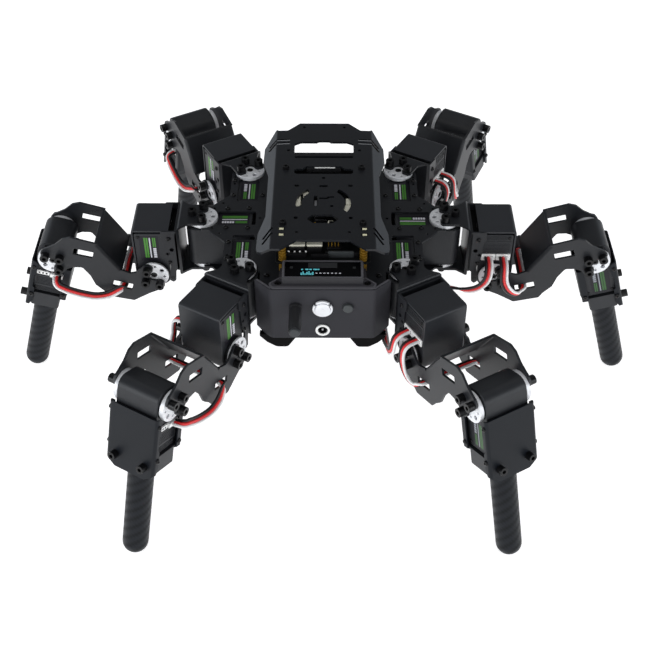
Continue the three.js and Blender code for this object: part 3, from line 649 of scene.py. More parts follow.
def coxa_bracket():
    prof = fillet([(-6, 2), (20.5, 2), (20.5, -47.2), (-6, -47.2), (-6, -45.2), (18.5, -45.2), (18.5, 0), (-6, 0)],
                  [0, 2.7, 2.7, 0, 0, 0.7, 0.7, 0], 5)
    u = ext(prof, -20.8, 20.8, "xz", w=0)
    plan = fillet([(24, -20.8), (24, 20.8), (20.5, 20.8), (17, 17), (11.5, 13), (-2, 13), (-4, 11), (-4, 6), (-2, 4.4)] + arcp(0, 0, 4.4, 75, -75, 8)
                  + [(-2, -4.4), (-4, -6), (-4, -11), (-2, -13), (11.5, -13), (17, -17), (20.5, -20.8)],
                  [0, 0, 0.8, 2, 2.5, 1.6, 1.2, 1.2, 0.5] + [0] * 9 + [0.5, 1.2, 1.2, 1.6, 2.5, 2, 0.8], 3)
    s = boolean(u, ext(plan, -60, 20, "xy", w=0), "INTERSECT")
    s = bev(tidy(s), 0.22, 2, 40)
    parts = [("sheet", s)]
    # discs above and below the servo
    parts += upright([(k, q) for k, q in horn_disc(-3.5, -0.02, 1, turn=0)])
    parts += upright([(k, q) for k, q in horn_disc(-45.18, -41.7, -1, turn=0)])
    for x, y in ((8.5, 0), (0, 8.5), (0, -8.5)):
        parts.append(("black_screw", aim(cap_screw(3.65, 5.4), (x, y, 2), "z")))
        parts.append(("black_screw", aim(cap_screw(3.0, 3), (x, y, -47.2), "-z")))
    # cage for the next servo: back plate, side flanges with their ears, cover and outer face
    back = ext(fillet([(-20.1, -1.2), (20.1, -1.2), (20.1, -42), (12, -47), (-12, -47), (-20.1, -42)], 1.5, 3), 20.75, 22.25, "yz",
               holes=[circle(1.6, y, z, 12) for y in (-13, 13) for z in (-9, -30)], w=0.2)
    parts.append(("sheet", back))
    fl = fillet([(20.8, -1.0), (33.6, -1.0), (33.6, -9.7), (31.9, -12), (30.8, -28.5), (27.6, -37.5), (28.8, -43), (29.8, -53.2), (27.2, -55.2), (24.8, -53), (23.8, -42.5), (20.8, -40)],
                [0.8, 1.5, 1.2, 1, 2, 2, 1, 1.2, 1, 1, 2, 1], 3)
    for a in (-20.1, 18.6):
        parts.append(("sheet", ext(fl, a, a + 1.5, "xz", holes=[circle(1.5, 29.2, -37.4 + 13, 12), circle(1.9, 25.6, -20, 14)], w=0.2)))
    cover = ext(fillet([(27.0, -1), (58.1, -1), (58.1, -50), (56.6, -50), (56.6, -2.5), (27.0, -2.5)], [0, 2.8, 0, 0, 1.3, 0], 5), -CAGE, CAGE, "xz", w=0)
    trim = ext(fillet([(-CAGE, 4), (CAGE, 4), (CAGE, -47), (16, -50.5), (-16, -50.5), (-CAGE, -47)], [0, 0, 1, 1, 1, 1], 2), 20, 64, "yz", w=0)
    cover = bev(tidy(boolean(cover, trim, "INTERSECT")), 0.22, 2, 40)
    parts.append(("cover", cover))
    # near-black block in the gap under the top plate's lip, ahead of the cover: painted shadow
    parts.append(("skid", block(22.2, 27.1, -18.5, 18.5, -40, -7.0, 0.2)))
    for s_ in (-1, 1):
        parts.append(("black_screw", aim(pan_screw(2.0, 1.3, 16), (27.4, s_ * 20.1, -8.6), "y" if s_ > 0 else "-y")))
        parts.append(("black_screw", aim(pan_screw(1.8, 1.1, 16), (28.2, s_ * 20.1, -33.5), "y" if s_ > 0 else "-y")))
        parts.append(("black_screw", aim(cyl(1.9, 0, 1.9, n=16), (27.2, s_ * 18.4, -50.5), "y" if s_ > 0 else "-y")))
        for z in (-9, -30):
            parts.append(("black_screw", aim(pan_screw(2.2, 1.2, 16), (22.25, s_ * 13, z), "x")))
    return mesh("coxa_bracket", parts)


CAGE = 19.0


LOBES = [(11.6, 6.6), (9.4, 10.4), (5.2, 11.4), (1.6, 8.8), (1.4, 5.2), (4.0, 1.6), (3.9, -1.8), (1.4, -4.2), (-2.0, -4.0), (-5.4, -2.6), (-9.2, -4.4), (-10.4, -8.4), (-8, -12.2)]
LOBE_R = [2, 3, 3, 2, 2, 2, 2, 2, 2, 3, 3, 3, 3]


def link_outline():
    upper = [(88, 15.2), (82.9, 19.1), (77.3, 25.9), (71, 28.7), (49, 26), (27.1, 1.6), (19.7, -0.4), (14.8, 1.6)]
    lower = [(1.6, -19.1), (14, -29.8), (35.5, -29), (39.5, -24.4), (47.5, -18.4), (52.5, -9), (59.5, -1.3), (67.3, -2.5), (71.4, -5.0)]
    turned = [(L2 - x, -z) for x, z in LOBES]
    return fillet(upper + LOBES + lower + turned, [0.6, 0.6, 0.8, 1.5, 1.5, 4, 3, 2] + LOBE_R + [1, 1, 1.2, 1, 1.5, 2.5, 3, 2, 2] + LOBE_R, 3)


def femur_link():
    slot_a = [(51.9, 10.4), (68.2, 11.6), (67.6, 18.2), (51.2, 16.8)]
    slot_b = [(L2 - x, -z) for x, z in slot_a]
    out = link_outline()
    holes = [fillet(slot_a, 0.5, 2), fillet(slot_b, 0.5, 2)]
    plates = total([ext(out, 22.6, 24.6, "xz", holes=holes, w=0), ext(out, -24.6, -22.6, "xz", holes=holes, w=0)])
    # web: a C section square to the plates, along the slanted edge from p to q
    p, q = Vector((27.2, 0, 1.7)), Vector((49.1, 0, 26.05))
    e = (q - p).normalized()
    n = Vector((e.z, 0, -e.x))  # into the link
    ln = (q - p).length
    sec = fillet([(-24.6, 0), (24.6, 0), (24.6, 7), (22.6, 7), (22.6, 2), (-22.6, 2), (-22.6, 7), (-24.6, 7)], [3, 3, 0, 0, 1.2, 1.2, 0, 0], 5)
    web = ext(sec, -1.2, ln + 1.2, "xy", w=0)  # u = y, v = depth, w = along
    Mw = Matrix(((0, n.x, e.x, p.x), (1, 0, 0, 0), (0, n.z, e.z, p.z), (0, 0, 0, 1)))
    web = web.by(Mw)
    # the plates give way to the section's rounded corners along the edge
    gap = ext([(-26, -1), (26, -1), (26, 3.2), (-26, 3.2)], 0.3, ln - 0.3, "xy", w=0).by(Mw)
    plates = boolean(plates, gap, "DIFFERENCE")
    web = boolean(web, ext(link_outline(), -30, 30, "xz", w=0), "INTERSECT")
    s = boolean(plates, web, "UNION")
    s = bev(tidy(s), 0.2, 2, 42)
    parts = [("sheet", s)]
    for c, t, d in (((0, 0), 45, 1.7), ((L2, 0), 45, 0.0)):
        parts += horn_disc(19.1 + d, 22.58, 1, c, t)
        parts += horn_disc(-22.58, -19.1 - d, -1, c, t)
        if d:
            parts.append(("case", cyl(HORN - 0.5, 19.1, 19.1 + d, "y", c, 40, 0.1) + cyl(HORN - 0.5, -19.1 - d, -19.1, "y", c, 40, 0.1)))
    for x, z in ((6, 6), (6, -6), (-6, -6)):
        for sx, sz in ((x, z), (L2 - x, -z)):
            parts.append(("black_screw", aim(cap_screw(3.65, 5.4), (sx, 24.6, sz), "y")))
            parts.append(("black_screw", aim(cap_screw(3.65, 5.4), (sx, -24.6, sz), "-y")))
    return mesh("femur_link", parts)


def tibia_bracket():
    sec = fillet([(-22.1, 11.2), (-22.1, 17), (22.1, 17), (22.1, 11.2), (20.6, 11.2), (20.6, 15.5), (-20.6, 15.5), (-20.6, 11.2)], [0, 2.6, 2.6, 0, 0, 1.1, 1.1, 0], 5)
    u = ext(sec, 6.0, 61.5, "yz", w=0)
    plan = ext(fillet([(5, -23), (55.4, -23), (55.4, -22.1), (61.5, -13.6), (61.5, 13.6), (55.4, 22.1), (55.4, 23), (5, 23)], [0, 0, 1, 2.5, 2.5, 1, 0, 0], 3), -30, 30, "xy", w=0)
    side = ext([(6.0, 30), (6.0, 14), (8, 11.3), (20, 11.3), (22, 13), (34, 13), (36, 11.3), (50, 11.3), (56.5, 14), (62, 15), (62, 30)], -30, 30, "xz", w=0)
    s = boolean(boolean(u, plan, "INTERSECT"), side, "INTERSECT")
    s = bev(tidy(s), 0.22, 2, 40)
    parts = [("tib", s)]
    sec2 = fillet([(-22.1, -10.6), (-22.1, -17), (22.1, -17), (22.1, -10.6), (20.6, -10.6), (20.6, -15.5), (-20.6, -15.5), (-20.6, -10.6)], [0, 2.4, 2.4, 0, 0, 1.0, 1.0, 0], 5)
    v = ext(sec2, 8, 43, "yz", w=0)
    side2 = ext([(8, -18), (35, -18), (38, -16.2), (43, -16.2), (43, -10.6), (8, -10.6)], -30, 30, "xz", w=0)
    parts.append(("tib", bev(tidy(boolean(v, side2, "INTERSECT")), 0.22, 2, 40)))
    # foot holder with its clamp collar
    hold = ext(fillet([(-20.4, -11.2), (20.4, -11.2), (20.4, 12.8), (-20.4, 12.8)], 2.2, 4), 41.8, 56.2, "yz", holes=[circle(10.55, 0, 0.8, 40)], w=0.6, seg=3)
    parts.append(("case", hold))
    parts.append(("case", ext(fillet([(-20.4, -15.6), (20.4, -15.6), (20.4, -10.9), (-20.4, -10.9)], 1.2, 3), 41.8, 44.6, "yz", w=0.4)))
    collar = ext(circle(12.9, 0, 0.8, 40), 55.6, 59.8, "yz", holes=[circle(10.5, 0, 0.8, 40)], w=0.5, seg=2)
    parts.append(("case", collar))
    for y in (-1, 1):
        parts.append(("black_screw", aim(cap_screw(3.3, 5.6), (50, y * 13.2, 17), "z")))
        parts.append(("case", cyl(3.6, 12.4, 15.6, "z", (50, y * 13.2), 20)))
        parts.append(("black_screw", aim(pan_screw(2.2, 1.5, 16), (43, y * 22.1, 13.2), "y" if y > 0 else "-y")))
        parts.append(("black_screw", aim(pan_screw(2.0, 1.2, 16), (38.0, y * 22.1, -13.2), "y" if y > 0 else "-y")))
        parts.append(("black_screw", aim(pan_screw(1.9, 1.2, 16), (12.6, y * 22.1, 14.2), "y" if y > 0 else "-y")))
    return mesh("tibia_bracket", parts)


def foot():
    R, end = 10.3, 136.565
    prof = [(0, 46), (R - 0.5, 46), (R, 46.5)] + [(R, 46.5 + i * 15.0) for i in range(1, 7)] + [(R * math.cos(a * RAD), end + R * math.sin(a * RAD)) for a in range(0, 90, 10)] + [(0, end + R)]
    return mesh("foot", [("carbon", lathe(prof, "x", 40))], 60)


def plugs_hip():
    """Two three-way plugs side by side, seated in the femur servo's side, in the leg frame."""
    parts = []
    for x0 in (31.0, 43.3):
        parts.append(("white_plug", ext(rrect(x0, x0 + 11.9, -30.8, -24.4, 0.5, 2), -19.2, -18.0, "xz", w=0.25)))
        for k in (0, 1, 2):
            c = x0 + 3.4 + k * 2.6
            parts.append(("chip", ext(rrect(c - 0.95, c + 0.95, -28.8, -26.4, 0.3, 2), -19.45, -19.1, "xz", w=0.06, seg=1)))
    return mesh("plugs_hip", parts)


def plugs_knee():
    """Plug row on the tibia servo's +y face, in the tibia frame."""
    parts = [("white_plug", ext(rrect(16.9, 20.4, -11.8, 0.2, 0.4, 2), 18.4, 21.4, "xz", w=0.25)),
             ("white_plug", ext(rrect(16.9, 20.4, 0.9, 12.2, 0.4, 2), 18.4, 19.9, "xz", w=0.2))]
    for k in range(3):
        parts.append(("chip", ext(rrect(17.9, 19.6, 2.6 + k * 3.0, 4.0 + k * 3.0, 0.2, 2), 19.7, 20.0, "xz", w=0.05, seg=1)))
    for k in range(4):
        parts.append(("white_plug", ext(rrect(20.4, 21.2, -11.2 + k * 3.0, -9.4 + k * 3.0, 0.2, 2), 18.4, 20.4, "xz", w=0.08, seg=1)))
    return mesh("plugs_knee", parts)


def link_point(lx, y, lz):
    c, s = math.cos(PITCH * RAD), math.sin(PITCH * RAD)
    return (FX + lx * c - lz * s, y, FZ + lx * s + lz * c)


WIRES = ("wire_white", "wire_red", "wire_black")
me_servo = servo()
# the knee servos wear the label colours darkened as painted shade
me_knee = servo("servo_knee", "green_dim", "white_dim")
me_coxa = coxa_bracket()
me_link = femur_link()
me_tibia = tibia_bracket()
me_foot = foot()
me_plug_h = plugs_hip()
me_plug_k = plugs_knee()
HOLE = {"front_left": (-45.6, -40), "mid_left": (-53, 12), "rear_left": (-45.6, 40), "front_right": (45.6, -40), "mid_right": (53, -12), "rear_right": (45.6, 40)}

for n in LEGS:
    F = FRAMES[n]
    cx, cy, head, way = COXA[n]
    piece(n + "_coxa_servo_body", me_servo, "chassis", F["coxa"], (n + "_coxa_servo",))
    piece(n + "_coxa_bracket_sheet", me_coxa, n + "_coxa", F["leg"], (n + "_coxa_bracket",))
    piece(n + "_femur_servo_body", me_servo, n + "_coxa", F["fservo"], (n + "_femur_servo",))
    piece(n + "_femur_link_sheet", me_link, n + "_femur", F["femur"], (n + "_femur_link",))
    piece(n + "_tibia_servo_body", me_knee, n + "_tibia", F["tibia"] @ rot(180, "X"), (n + "_tibia_servo",))
    piece(n + "_tibia_bracket_sheet", me_tibia, n + "_tibia", F["tibia"], (n + "_tibia_bracket",))
    piece(n + "_foot_tube", me_foot, n + "_tibia", F["tibia"] @ tr(0, 0, 0.8), (n + "_foot",))
    piece(n + "_hip_plugs", me_plug_h, n + "_coxa", F["leg"])
    piece(n + "_knee_plugs", me_plug_k, n + "_tibia", F["tibia"])
    # leads: flat three-wire ribbons, one across the yaw joint, one across the lift joint, one across the knee
    h = head * RAD
    dx, dy = HOLE[n][0] - cx, HOLE[n][1] - cy
    hx, hy = dx * math.cos(h) + dy * math.sin(h), -dx * math.sin(h) + dy * math.cos(h)
    A = [(37.0, -18.7, -27.6), (37.0, -22.0, -27.5), (37.0, -27.2, -28.2), (36.8, -31.0, -31.4), (36.4, -32.4, -37.5), (34.4, -32.0, -44.5), (30, -31.0, -50.6), (24.5, -29.0, -55.0), (18, -26, -57.8),
         (10, -22, -59), ((10 + hx * 2) / 3, (-22 + hy * 2) / 3, -58.5), (hx + (10 - hx) * 0.1, hy + (-22 - hy) * 0.1, -54.5), (hx, hy, -48), (hx, hy, -37)]
    NA = [(0, 0, 1), (0, -0.1, 1), (0, -0.5, 0.85), (0, -0.9, 0.5), (0, -1, 0.1), (0.1, -1, 0.1), (0.1, -1, 0.1), (0.0, -1, 0.0), (-0.1, -0.9, -0.4), (-0.1, -0.5, -0.8), (0, 0, -1)]
    d = Vector((hx - 10, hy + 22, 0)).normalized()
    NA += [tuple(d * 0.7 + Vector((0, 0, -0.7))), tuple(d), tuple(d)]
    B1 = [(49.3, -18.7, -27.6), (49.3, -22.0, -27.5), (49.3, -27.6, -28.0), (49.4, -31.4, -31.0), (49.6, -32.8, -37), (50.8, -33.0, -44), (54.2, -32.8, -51), (59.4, -31.8, -56.4), (64.4, -29.2, -58.8), link_point(22.6, -26.4, -14.9),
          link_point(23.2, -22, -14.3), link_point(24, -10, -13.6), link_point(24, 0, -13.4), link_point(24, 10, -13.6), link_point(23.9, 19, -14.0)]
    NB1 = [(0, 0, 1), (0, -0.1, 1), (0, -0.5, 0.85), (0, -0.9, 0.5), (0, -1, 0.1), (0, -1, 0), (-0.1, -1, -0.1), (-0.1, -1, -0.3), (0.1, -0.8, -0.5), (0.3, -0.4, -0.8), (0.2, 0, -1), (0.1, 0, -1), (0.1, 0, -1), (0.1, 0, -1), (0.1, 0, -1)]
    B2 = [link_point(24, 17.6, -13.9), link_point(23.9, 22, -14.2), link_point(25, 26.4, -15), link_point(29, 29.0, -17.6), link_point(36, 30.4, -22.6), link_point(46, 30.8, -26.0), link_point(57, 30.6, -26.0),
          link_point(66.5, 30.2, -24.8), link_point(73.4, 29.8, -23.0), link_point(77.8, 29.2, -21.4), link_point(79.8, 27.2, -19.8), link_point(80.5, 24.0, -18.9), link_point(80.6, 20.8, -18.7)]
    NB2 = [(0.1, 0, -1), (0.2, 0.1, -1), (0.2, 0.7, -0.4), (0.1, 1, 0.3), (0.1, 0.8, 0.6), (0.1, 0.72, 0.7), (0.1, 0.72, 0.7), (0.0, 0.8, 0.6), (-0.2, 0.9, 0.4), (-0.2, 0.95, 0.2), (0, 0.8, 0.5), (0, 0.3, 0.9), (0, 0, 1)]
    if n == "front_left":
        B2[5:12] = [link_point(46, 30.8, -25.2), link_point(57, 30.6, -24.2), link_point(66.5, 30.6, -21.6), link_point(73.4, 30.4, -19.0), link_point(77.2, 30.0, -17.8), link_point(79.4, 28.0, -17.6), link_point(80.4, 24.4, -18.0)]
    inv = F["leg"]
    for tag, pts, nrm, ab, st, en in (
        ("lead_body", A, NA, ("chassis", n + "_coxa"), (hx, hy, -48), (30, -26, -53)),
        ("lead_hip", B1, NB1, (n + "_coxa", n + "_femur"), (49, -26, -36), (66, -28, -58)),
        ("lead_knee", B2, NB2, (n + "_femur", n + "_tibia"), link_point(48, 29, -28), link_point(80, 24, -23)),
    ):
        me = mesh(n + "_" + tag, [(WIRES, ribbon(pts, nrm))], 60)
        o = piece(n + "_" + tag, me, None, inv, (n + "_servo_leads",) if tag == "lead_body" else (), ride=False)
        o.modifiers.clear()
        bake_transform(o)


# ------------------------------------------------------------ chassis
def both(pts):
    return list(pts) + [(-x, y) for x, y in reversed(pts)]


def deck():
    drop = math.tan(27.5 * RAD)
    zt, x1 = 28.0, 51.9
    zo = zt - (x1 - 40.3) * drop
    prof = fillet([(-x1, zo), (-40.3, zt), (40.3, zt), (x1, zo), (x1, zo - 2.1), (40.0, zt - 2), (-40.0, zt - 2), (-x1, zo - 2.1)], [0, 4.5, 4.5, 0, 0, 2.8, 2.8, 0], 5)
    s = ext(prof, -78, 97, "xz", w=0)
    right = [(20.8, -65.6), (33.0, -76.6), (47.6, -76.4), (50.6, -74.0), (51.7, -69), (51.2, -52), (45.9, -33), (45.9, 22.8), (51.2, 44.8), (50.8, 64), (41.4, 86.6), (39.4, 84.6), (31.4, 85), (21.2, 96)]
    rr = [1.5, 1.5, 2, 2, 2, 4, 5, 5, 5, 3, 0.8, 0.6, 1.5, 1.5]
    plan = fillet(right + [(-x, y) for x, y in reversed(right)], rr + rr[::-1], 3)
    s = boolean(s, ext(plan, 5, 45, "xy", w=0), "INTERSECT")
    cuts = [ext(fillet([(-25, 51.4), (25, 51.4), (25, 64.6), (19.5, 67.8), (6, 67.8), (4.4, 69.4), (-4.4, 69.4), (-6, 67.8), (-19.5, 67.8), (-25, 64.6)], [1, 1, 1.5, 1.5, 0.8, 0.8, 0.8, 0.8, 1.5, 1.5], 3), 15, 40, "xy", w=0),
            ext(fillet([(-24.4, 22.4), (-22.6, 21), (22.6, 21), (24.4, 22.4), (24.4, 27), (22, 28.2), (17.5, 28.4), (14.6, 31.8), (-14.6, 31.8), (-17.5, 28.4), (-22, 28.2), (-24.4, 27)], 0.9, 3), 15, 40, "xy", w=0)]
    slit_highlights = []
    # two curved windows of the sensor pattern
    cuts.append(ext(arcp(0, -18.5, 22.2, 125, 194, 14) + arcp(0, -18.5, 17.6, 190, 128, 12), 15, 40, "xy", w=0))
    cuts.append(ext(arcp(0, -18.5, 22.2, 56, -32, 16) + arcp(0, -18.5, 17.6, -28, 53, 14), 15, 40, "xy", w=0))
    for s_ in (-1, 1):
        def fl(p):
            return [(s_ * x, y) for x, y in p]
        for pts in ([(46.6, 62.2), (40.6, 70.4), (29.4, 71.2)], [(46.8, 57.2), (40.6, 65.4), (29.4, 66.2)], [(46.8, -61.4), (39.4, -50.4)], [(46.8, -67.4), (39.4, -56.4)]):
            w2 = 1.0
            line = [Vector(p) for p in pts]
            a_, b_ = [], []
            for i, p in enumerate(line):
                t = (line[min(i + 1, len(line) - 1)] - line[max(i - 1, 0)]).normalized()
                nn = Vector((-t.y, t.x))
                a_.append(tuple(p + nn * w2)); b_.append(tuple(p - nn * w2))
            cuts.append(ext(fl(a_ + b_[::-1]), 15, 40, "xy", w=0))
            # beside each rear slit, a light strip a hair above the deck: painted highlight on the slit's edge
            for p, q in zip(line, line[1:]):
                t = (q - p).normalized()
                up = Vector((-t.y, t.x)) * (1 if t.x < 0 else -1)
                quad = [p + up * 0.95, q + up * 0.95, q + up * 1.75, p + up * 1.75]
                top = [(s_ * c.x, c.y, 28 - max(0.0, abs(c.x) - 40.3) * drop) for c in quad]
                low = [(x, y, z - 0.4) for x, y, z in top]
                if p.y > 0 and max(abs(p.x), abs(q.x)) < 41:
                    slit_highlights.append(outward(Shape([(x, y, z + 0.12) for x, y, z in top] + low, [[0, 1, 2, 3], [7, 6, 5, 4], [0, 4, 5, 1], [1, 5, 6, 2], [2, 6, 7, 3], [3, 7, 4, 0]])))
        for x, y, r in ((17.5, 90, 1.5), (30, 55, 1.5), (21.7, -37.8, 1.7), (20.5, -56, 1.3)):
            cuts.append(ext(circle(r, s_ * x, y, 14), 15, 40, "xy", w=0))
        cuts.append(ext(rrect(*sorted((s_ * 29.8, s_ * 35.0)), -53.2, -50.2, 0.4), 15, 40, "xy", w=0))
        cuts.append(ext(rrect(*sorted((s_ * 29.8, s_ * 35.0)), -60.5, -57.5, 0.4), 15, 40, "xy", w=0))
    cuts.append(ext(fillet([(-13, -39.4), (-8.8, -33.8), (6.4, -33.6), (12.4, -39.2), (7.8, -44.6), (-7.8, -44.6)], 0.9, 2), 15, 40, "xy", w=0))
    cuts += [ext(rrect(s_ * 21.8 - 2.2, s_ * 21.8 + 2.2, 3.1, 6.3, 1.4), 15, 40, "xy", w=0) for s_ in (-1, 1)]
    cuts.append(ext(rrect(-24.6, 24.6, 43.8, 46.4, 0.8), 15, 40, "xy", w=0))
    cuts.append(ext(circle(1.5, 0, 15.4, 14), 15, 40, "xy", w=0))
    cuts.append(ext(rrect(-3.6, 3.6, 2.7, 5.5, 1.2), 15, 40, "xy", w=0))
    cuts.append(ext(fillet([(-3.4, -13.4), (3.6, -13.4), (4.8, -11.6), (8.6, -11.6), (8.6, -9.6), (3.8, -9.6), (2.6, -11.4), (-3.4, -11.4)], 0.3, 2), 15, 40, "xy", w=0))
    cuts.append(ext(rrect(-7.7, -4.8, -22.4, -8.8, 1.3), 15, 40, "xy", w=0))
    cuts.append(ext(circle(1.5, 6.7, -22.7, 12), 15, 40, "xy", w=0))
    s = boolean(s, total(cuts), "DIFFERENCE")
    s = bev(tidy(s), 0.2, 2, 42)
    parts = [("deck_sheet", s), ("slit_edge", total(slit_highlights))]
    parts.append(("white_plug", block(-7.6, 9.4, 30.6, 31.6, 26.7, 27.2, 0.12)))
    parts.append(("rubber", block(-14, 14, 30.4, 32.2, 22.5, 26.6, 0.12)))
    # a thin dark strip in front of the carry slot
    parts.append(("rubber", block(-24.8, 24.8, 46.5, 51.3, 27.9, 28.25, 0.12, r=0.3)))
    for s_ in (-1, 1):
        for y in (29, -45):
            parts.append(("black_screw", aim(cap_screw(2.5, 2.6, 18), (s_ * 31.4, y, 28), "z")))
            parts.append(("black_screw", cyl(3.3, 27.9, 28.2, "z", (s_ * 31.4, y), 24, 0.08)))
        for y in (-51.7, -59.0):
            parts.append(("gold_pad", block(s_ * 32.4 - 1.75, s_ * 32.4 + 1.75, y - 1.05, y + 1.05, 26.2, 28.05, 0.15)))
    return mesh("deck_sheet", parts)


def plate_outline(rear):
    right = [(49.5, -84), (49.5, -76.5), (49.5, -68), (80, -66.1), (80, -31), (88.3, -22.7), (94.2, -16), (101, -15.6), (101, 15.6), (94.2, 16), (88.3, 22.7), (80, 31), (80, 66.1), (49.5, 68), (49.5, rear)]
    return fillet(right + [(-x, y) for x, y in reversed(right)], [2, 0, 1, 2, 2, 2, 2, 1.5, 1.5, 2, 2, 2, 2, 1, 2] + [2, 1, 2, 2, 2, 2, 1.5, 1.5, 2, 2, 2, 2, 1, 0, 2], 3)


def horn_cuts():
    return [ext(circle(13.6, cx, cy, 40), -60, 20, "xy", w=0) for cx, cy, *_ in COXA.values()]


def upper_plate():
    s = ext(plate_outline(82), -4, -2, "xy", w=0)
    cuts = horn_cuts()
    for sx in (-1, 1):
        cuts.append(ext(rrect(*sorted((sx * 56.2, sx * 88)), -9, 9, 1.5), -10, 5, "xy", w=0))
        cuts.append(ext(circle(1.3, sx * 52.6, 0, 12), -10, 5, "xy", w=0))
        for sy in (-1, 1):
            cuts.append(ext(rrect(*sorted((sx * 55.7, sx * 73.7)), *sorted((sy * 22.6, sy * 54)), 1.5), -10, 5, "xy", w=0))
            for x, y in ((77, 48), (77, 58), (84.6, 20.4), (91.5, 13.2)):
                cuts.append(ext(circle(1.2, sx * x, sy * y, 12), -10, 5, "xy", w=0))
    cuts.append(ext(rrect(-16, 16, -24, 24, 3), -10, 5, "xy", w=0))
    s = bev(tidy(boolean(s, total(cuts), "DIFFERENCE")), 0.2, 2, 42)
    parts = [("sheet", s)]
    for sx in (-1, 1):
        for x, y in ((62.6, -13.2), (62.6, 13.2), (80.4, -12.6), (80.4, 12.6), (77, -31.5), (77, 31.5), (52.4, -31.5), (52.4, 31.5), (77, -52.5), (77, 52.5)):
            parts.append(("black_screw", aim(pan_screw(2.1, 1.5, 16), (sx * x, y, -2), "z")))
        for y in (-73, 73):
            parts.append(("black_screw", aim(pan_screw(2.1, 1.5, 16), (sx * 44, y, -2), "z")))
    return mesh("upper_plate_sheet", parts)


def lower_plate():
    s = ext(plate_outline(84), -43.2, -41.2, "xy", w=0)
    tongue = ext([(-49.5, -83), (-49.5, -83.5), (-40.8, -93.5), (40.8, -93.5), (49.5, -83.5), (49.5, -83)], -43.2, -41.2, "xy", w=0)
    s = boolean(s, tongue, "UNION")
    cuts = horn_cuts() + [ext(circle(4, x, y, 20), -60, 5, "xy", w=0) for x, y in HOLE.values()]
    for sx in (-1, 1):
        for x, y in ((30, -70), (30, 70), (20, -20), (20, 20), (36, 0)):
            cuts.append(ext(circle(1.6, sx * x, y, 12), -60, 5, "xy", w=0))
    s = bev(tidy(boolean(s, total(cuts), "DIFFERENCE")), 0.2, 2, 42)
    # the lower plate takes the sheet darkened as painted shade
    parts = [("sheet_dark", s)]
    for sx in (-1, 1):
        for y0, y1 in ((-93.5, -88.5), (80, 84)):
            sk = fillet([(19, -43.0), (19, -45.9), (28, -60), (37, -60), (44.5, -55), (50.4, -48.2), (50.4, -45.9), (40, -45.9), (40, -43.0)], [0, 1.5, 4, 6, 8, 2, 0.5, 0, 0], 5)
            shp = ext([(sx * x, z) for x, z in sk], y0, y1, "xz", w=0.7, seg=3)
            # skids in the near-black finish: their own black, darkened further as painted shade under the body
            parts.append(("skid", shp))
        for x, y in ((62.6, -13.2), (62.6, 13.2), (77, -31.5), (77, 31.5), (52.4, -31.5), (52.4, 31.5), (77, -52.5), (77, 52.5), (44, -73), (44, 73)):
            parts.append(("black_screw", aim(pan_screw(2.1, 1.5, 16), (sx * x, y, -43.2), "-z")))
        # pillars between the two plates
        for x, y in ((46.5, -73), (46.5, 73)):
            parts.append(("sheet_dark", cyl(2.6, -41.3, -3.9, "z", (sx * x, y), 6 * 3, 0.2)))
    return mesh("lower_plate_sheet", parts)


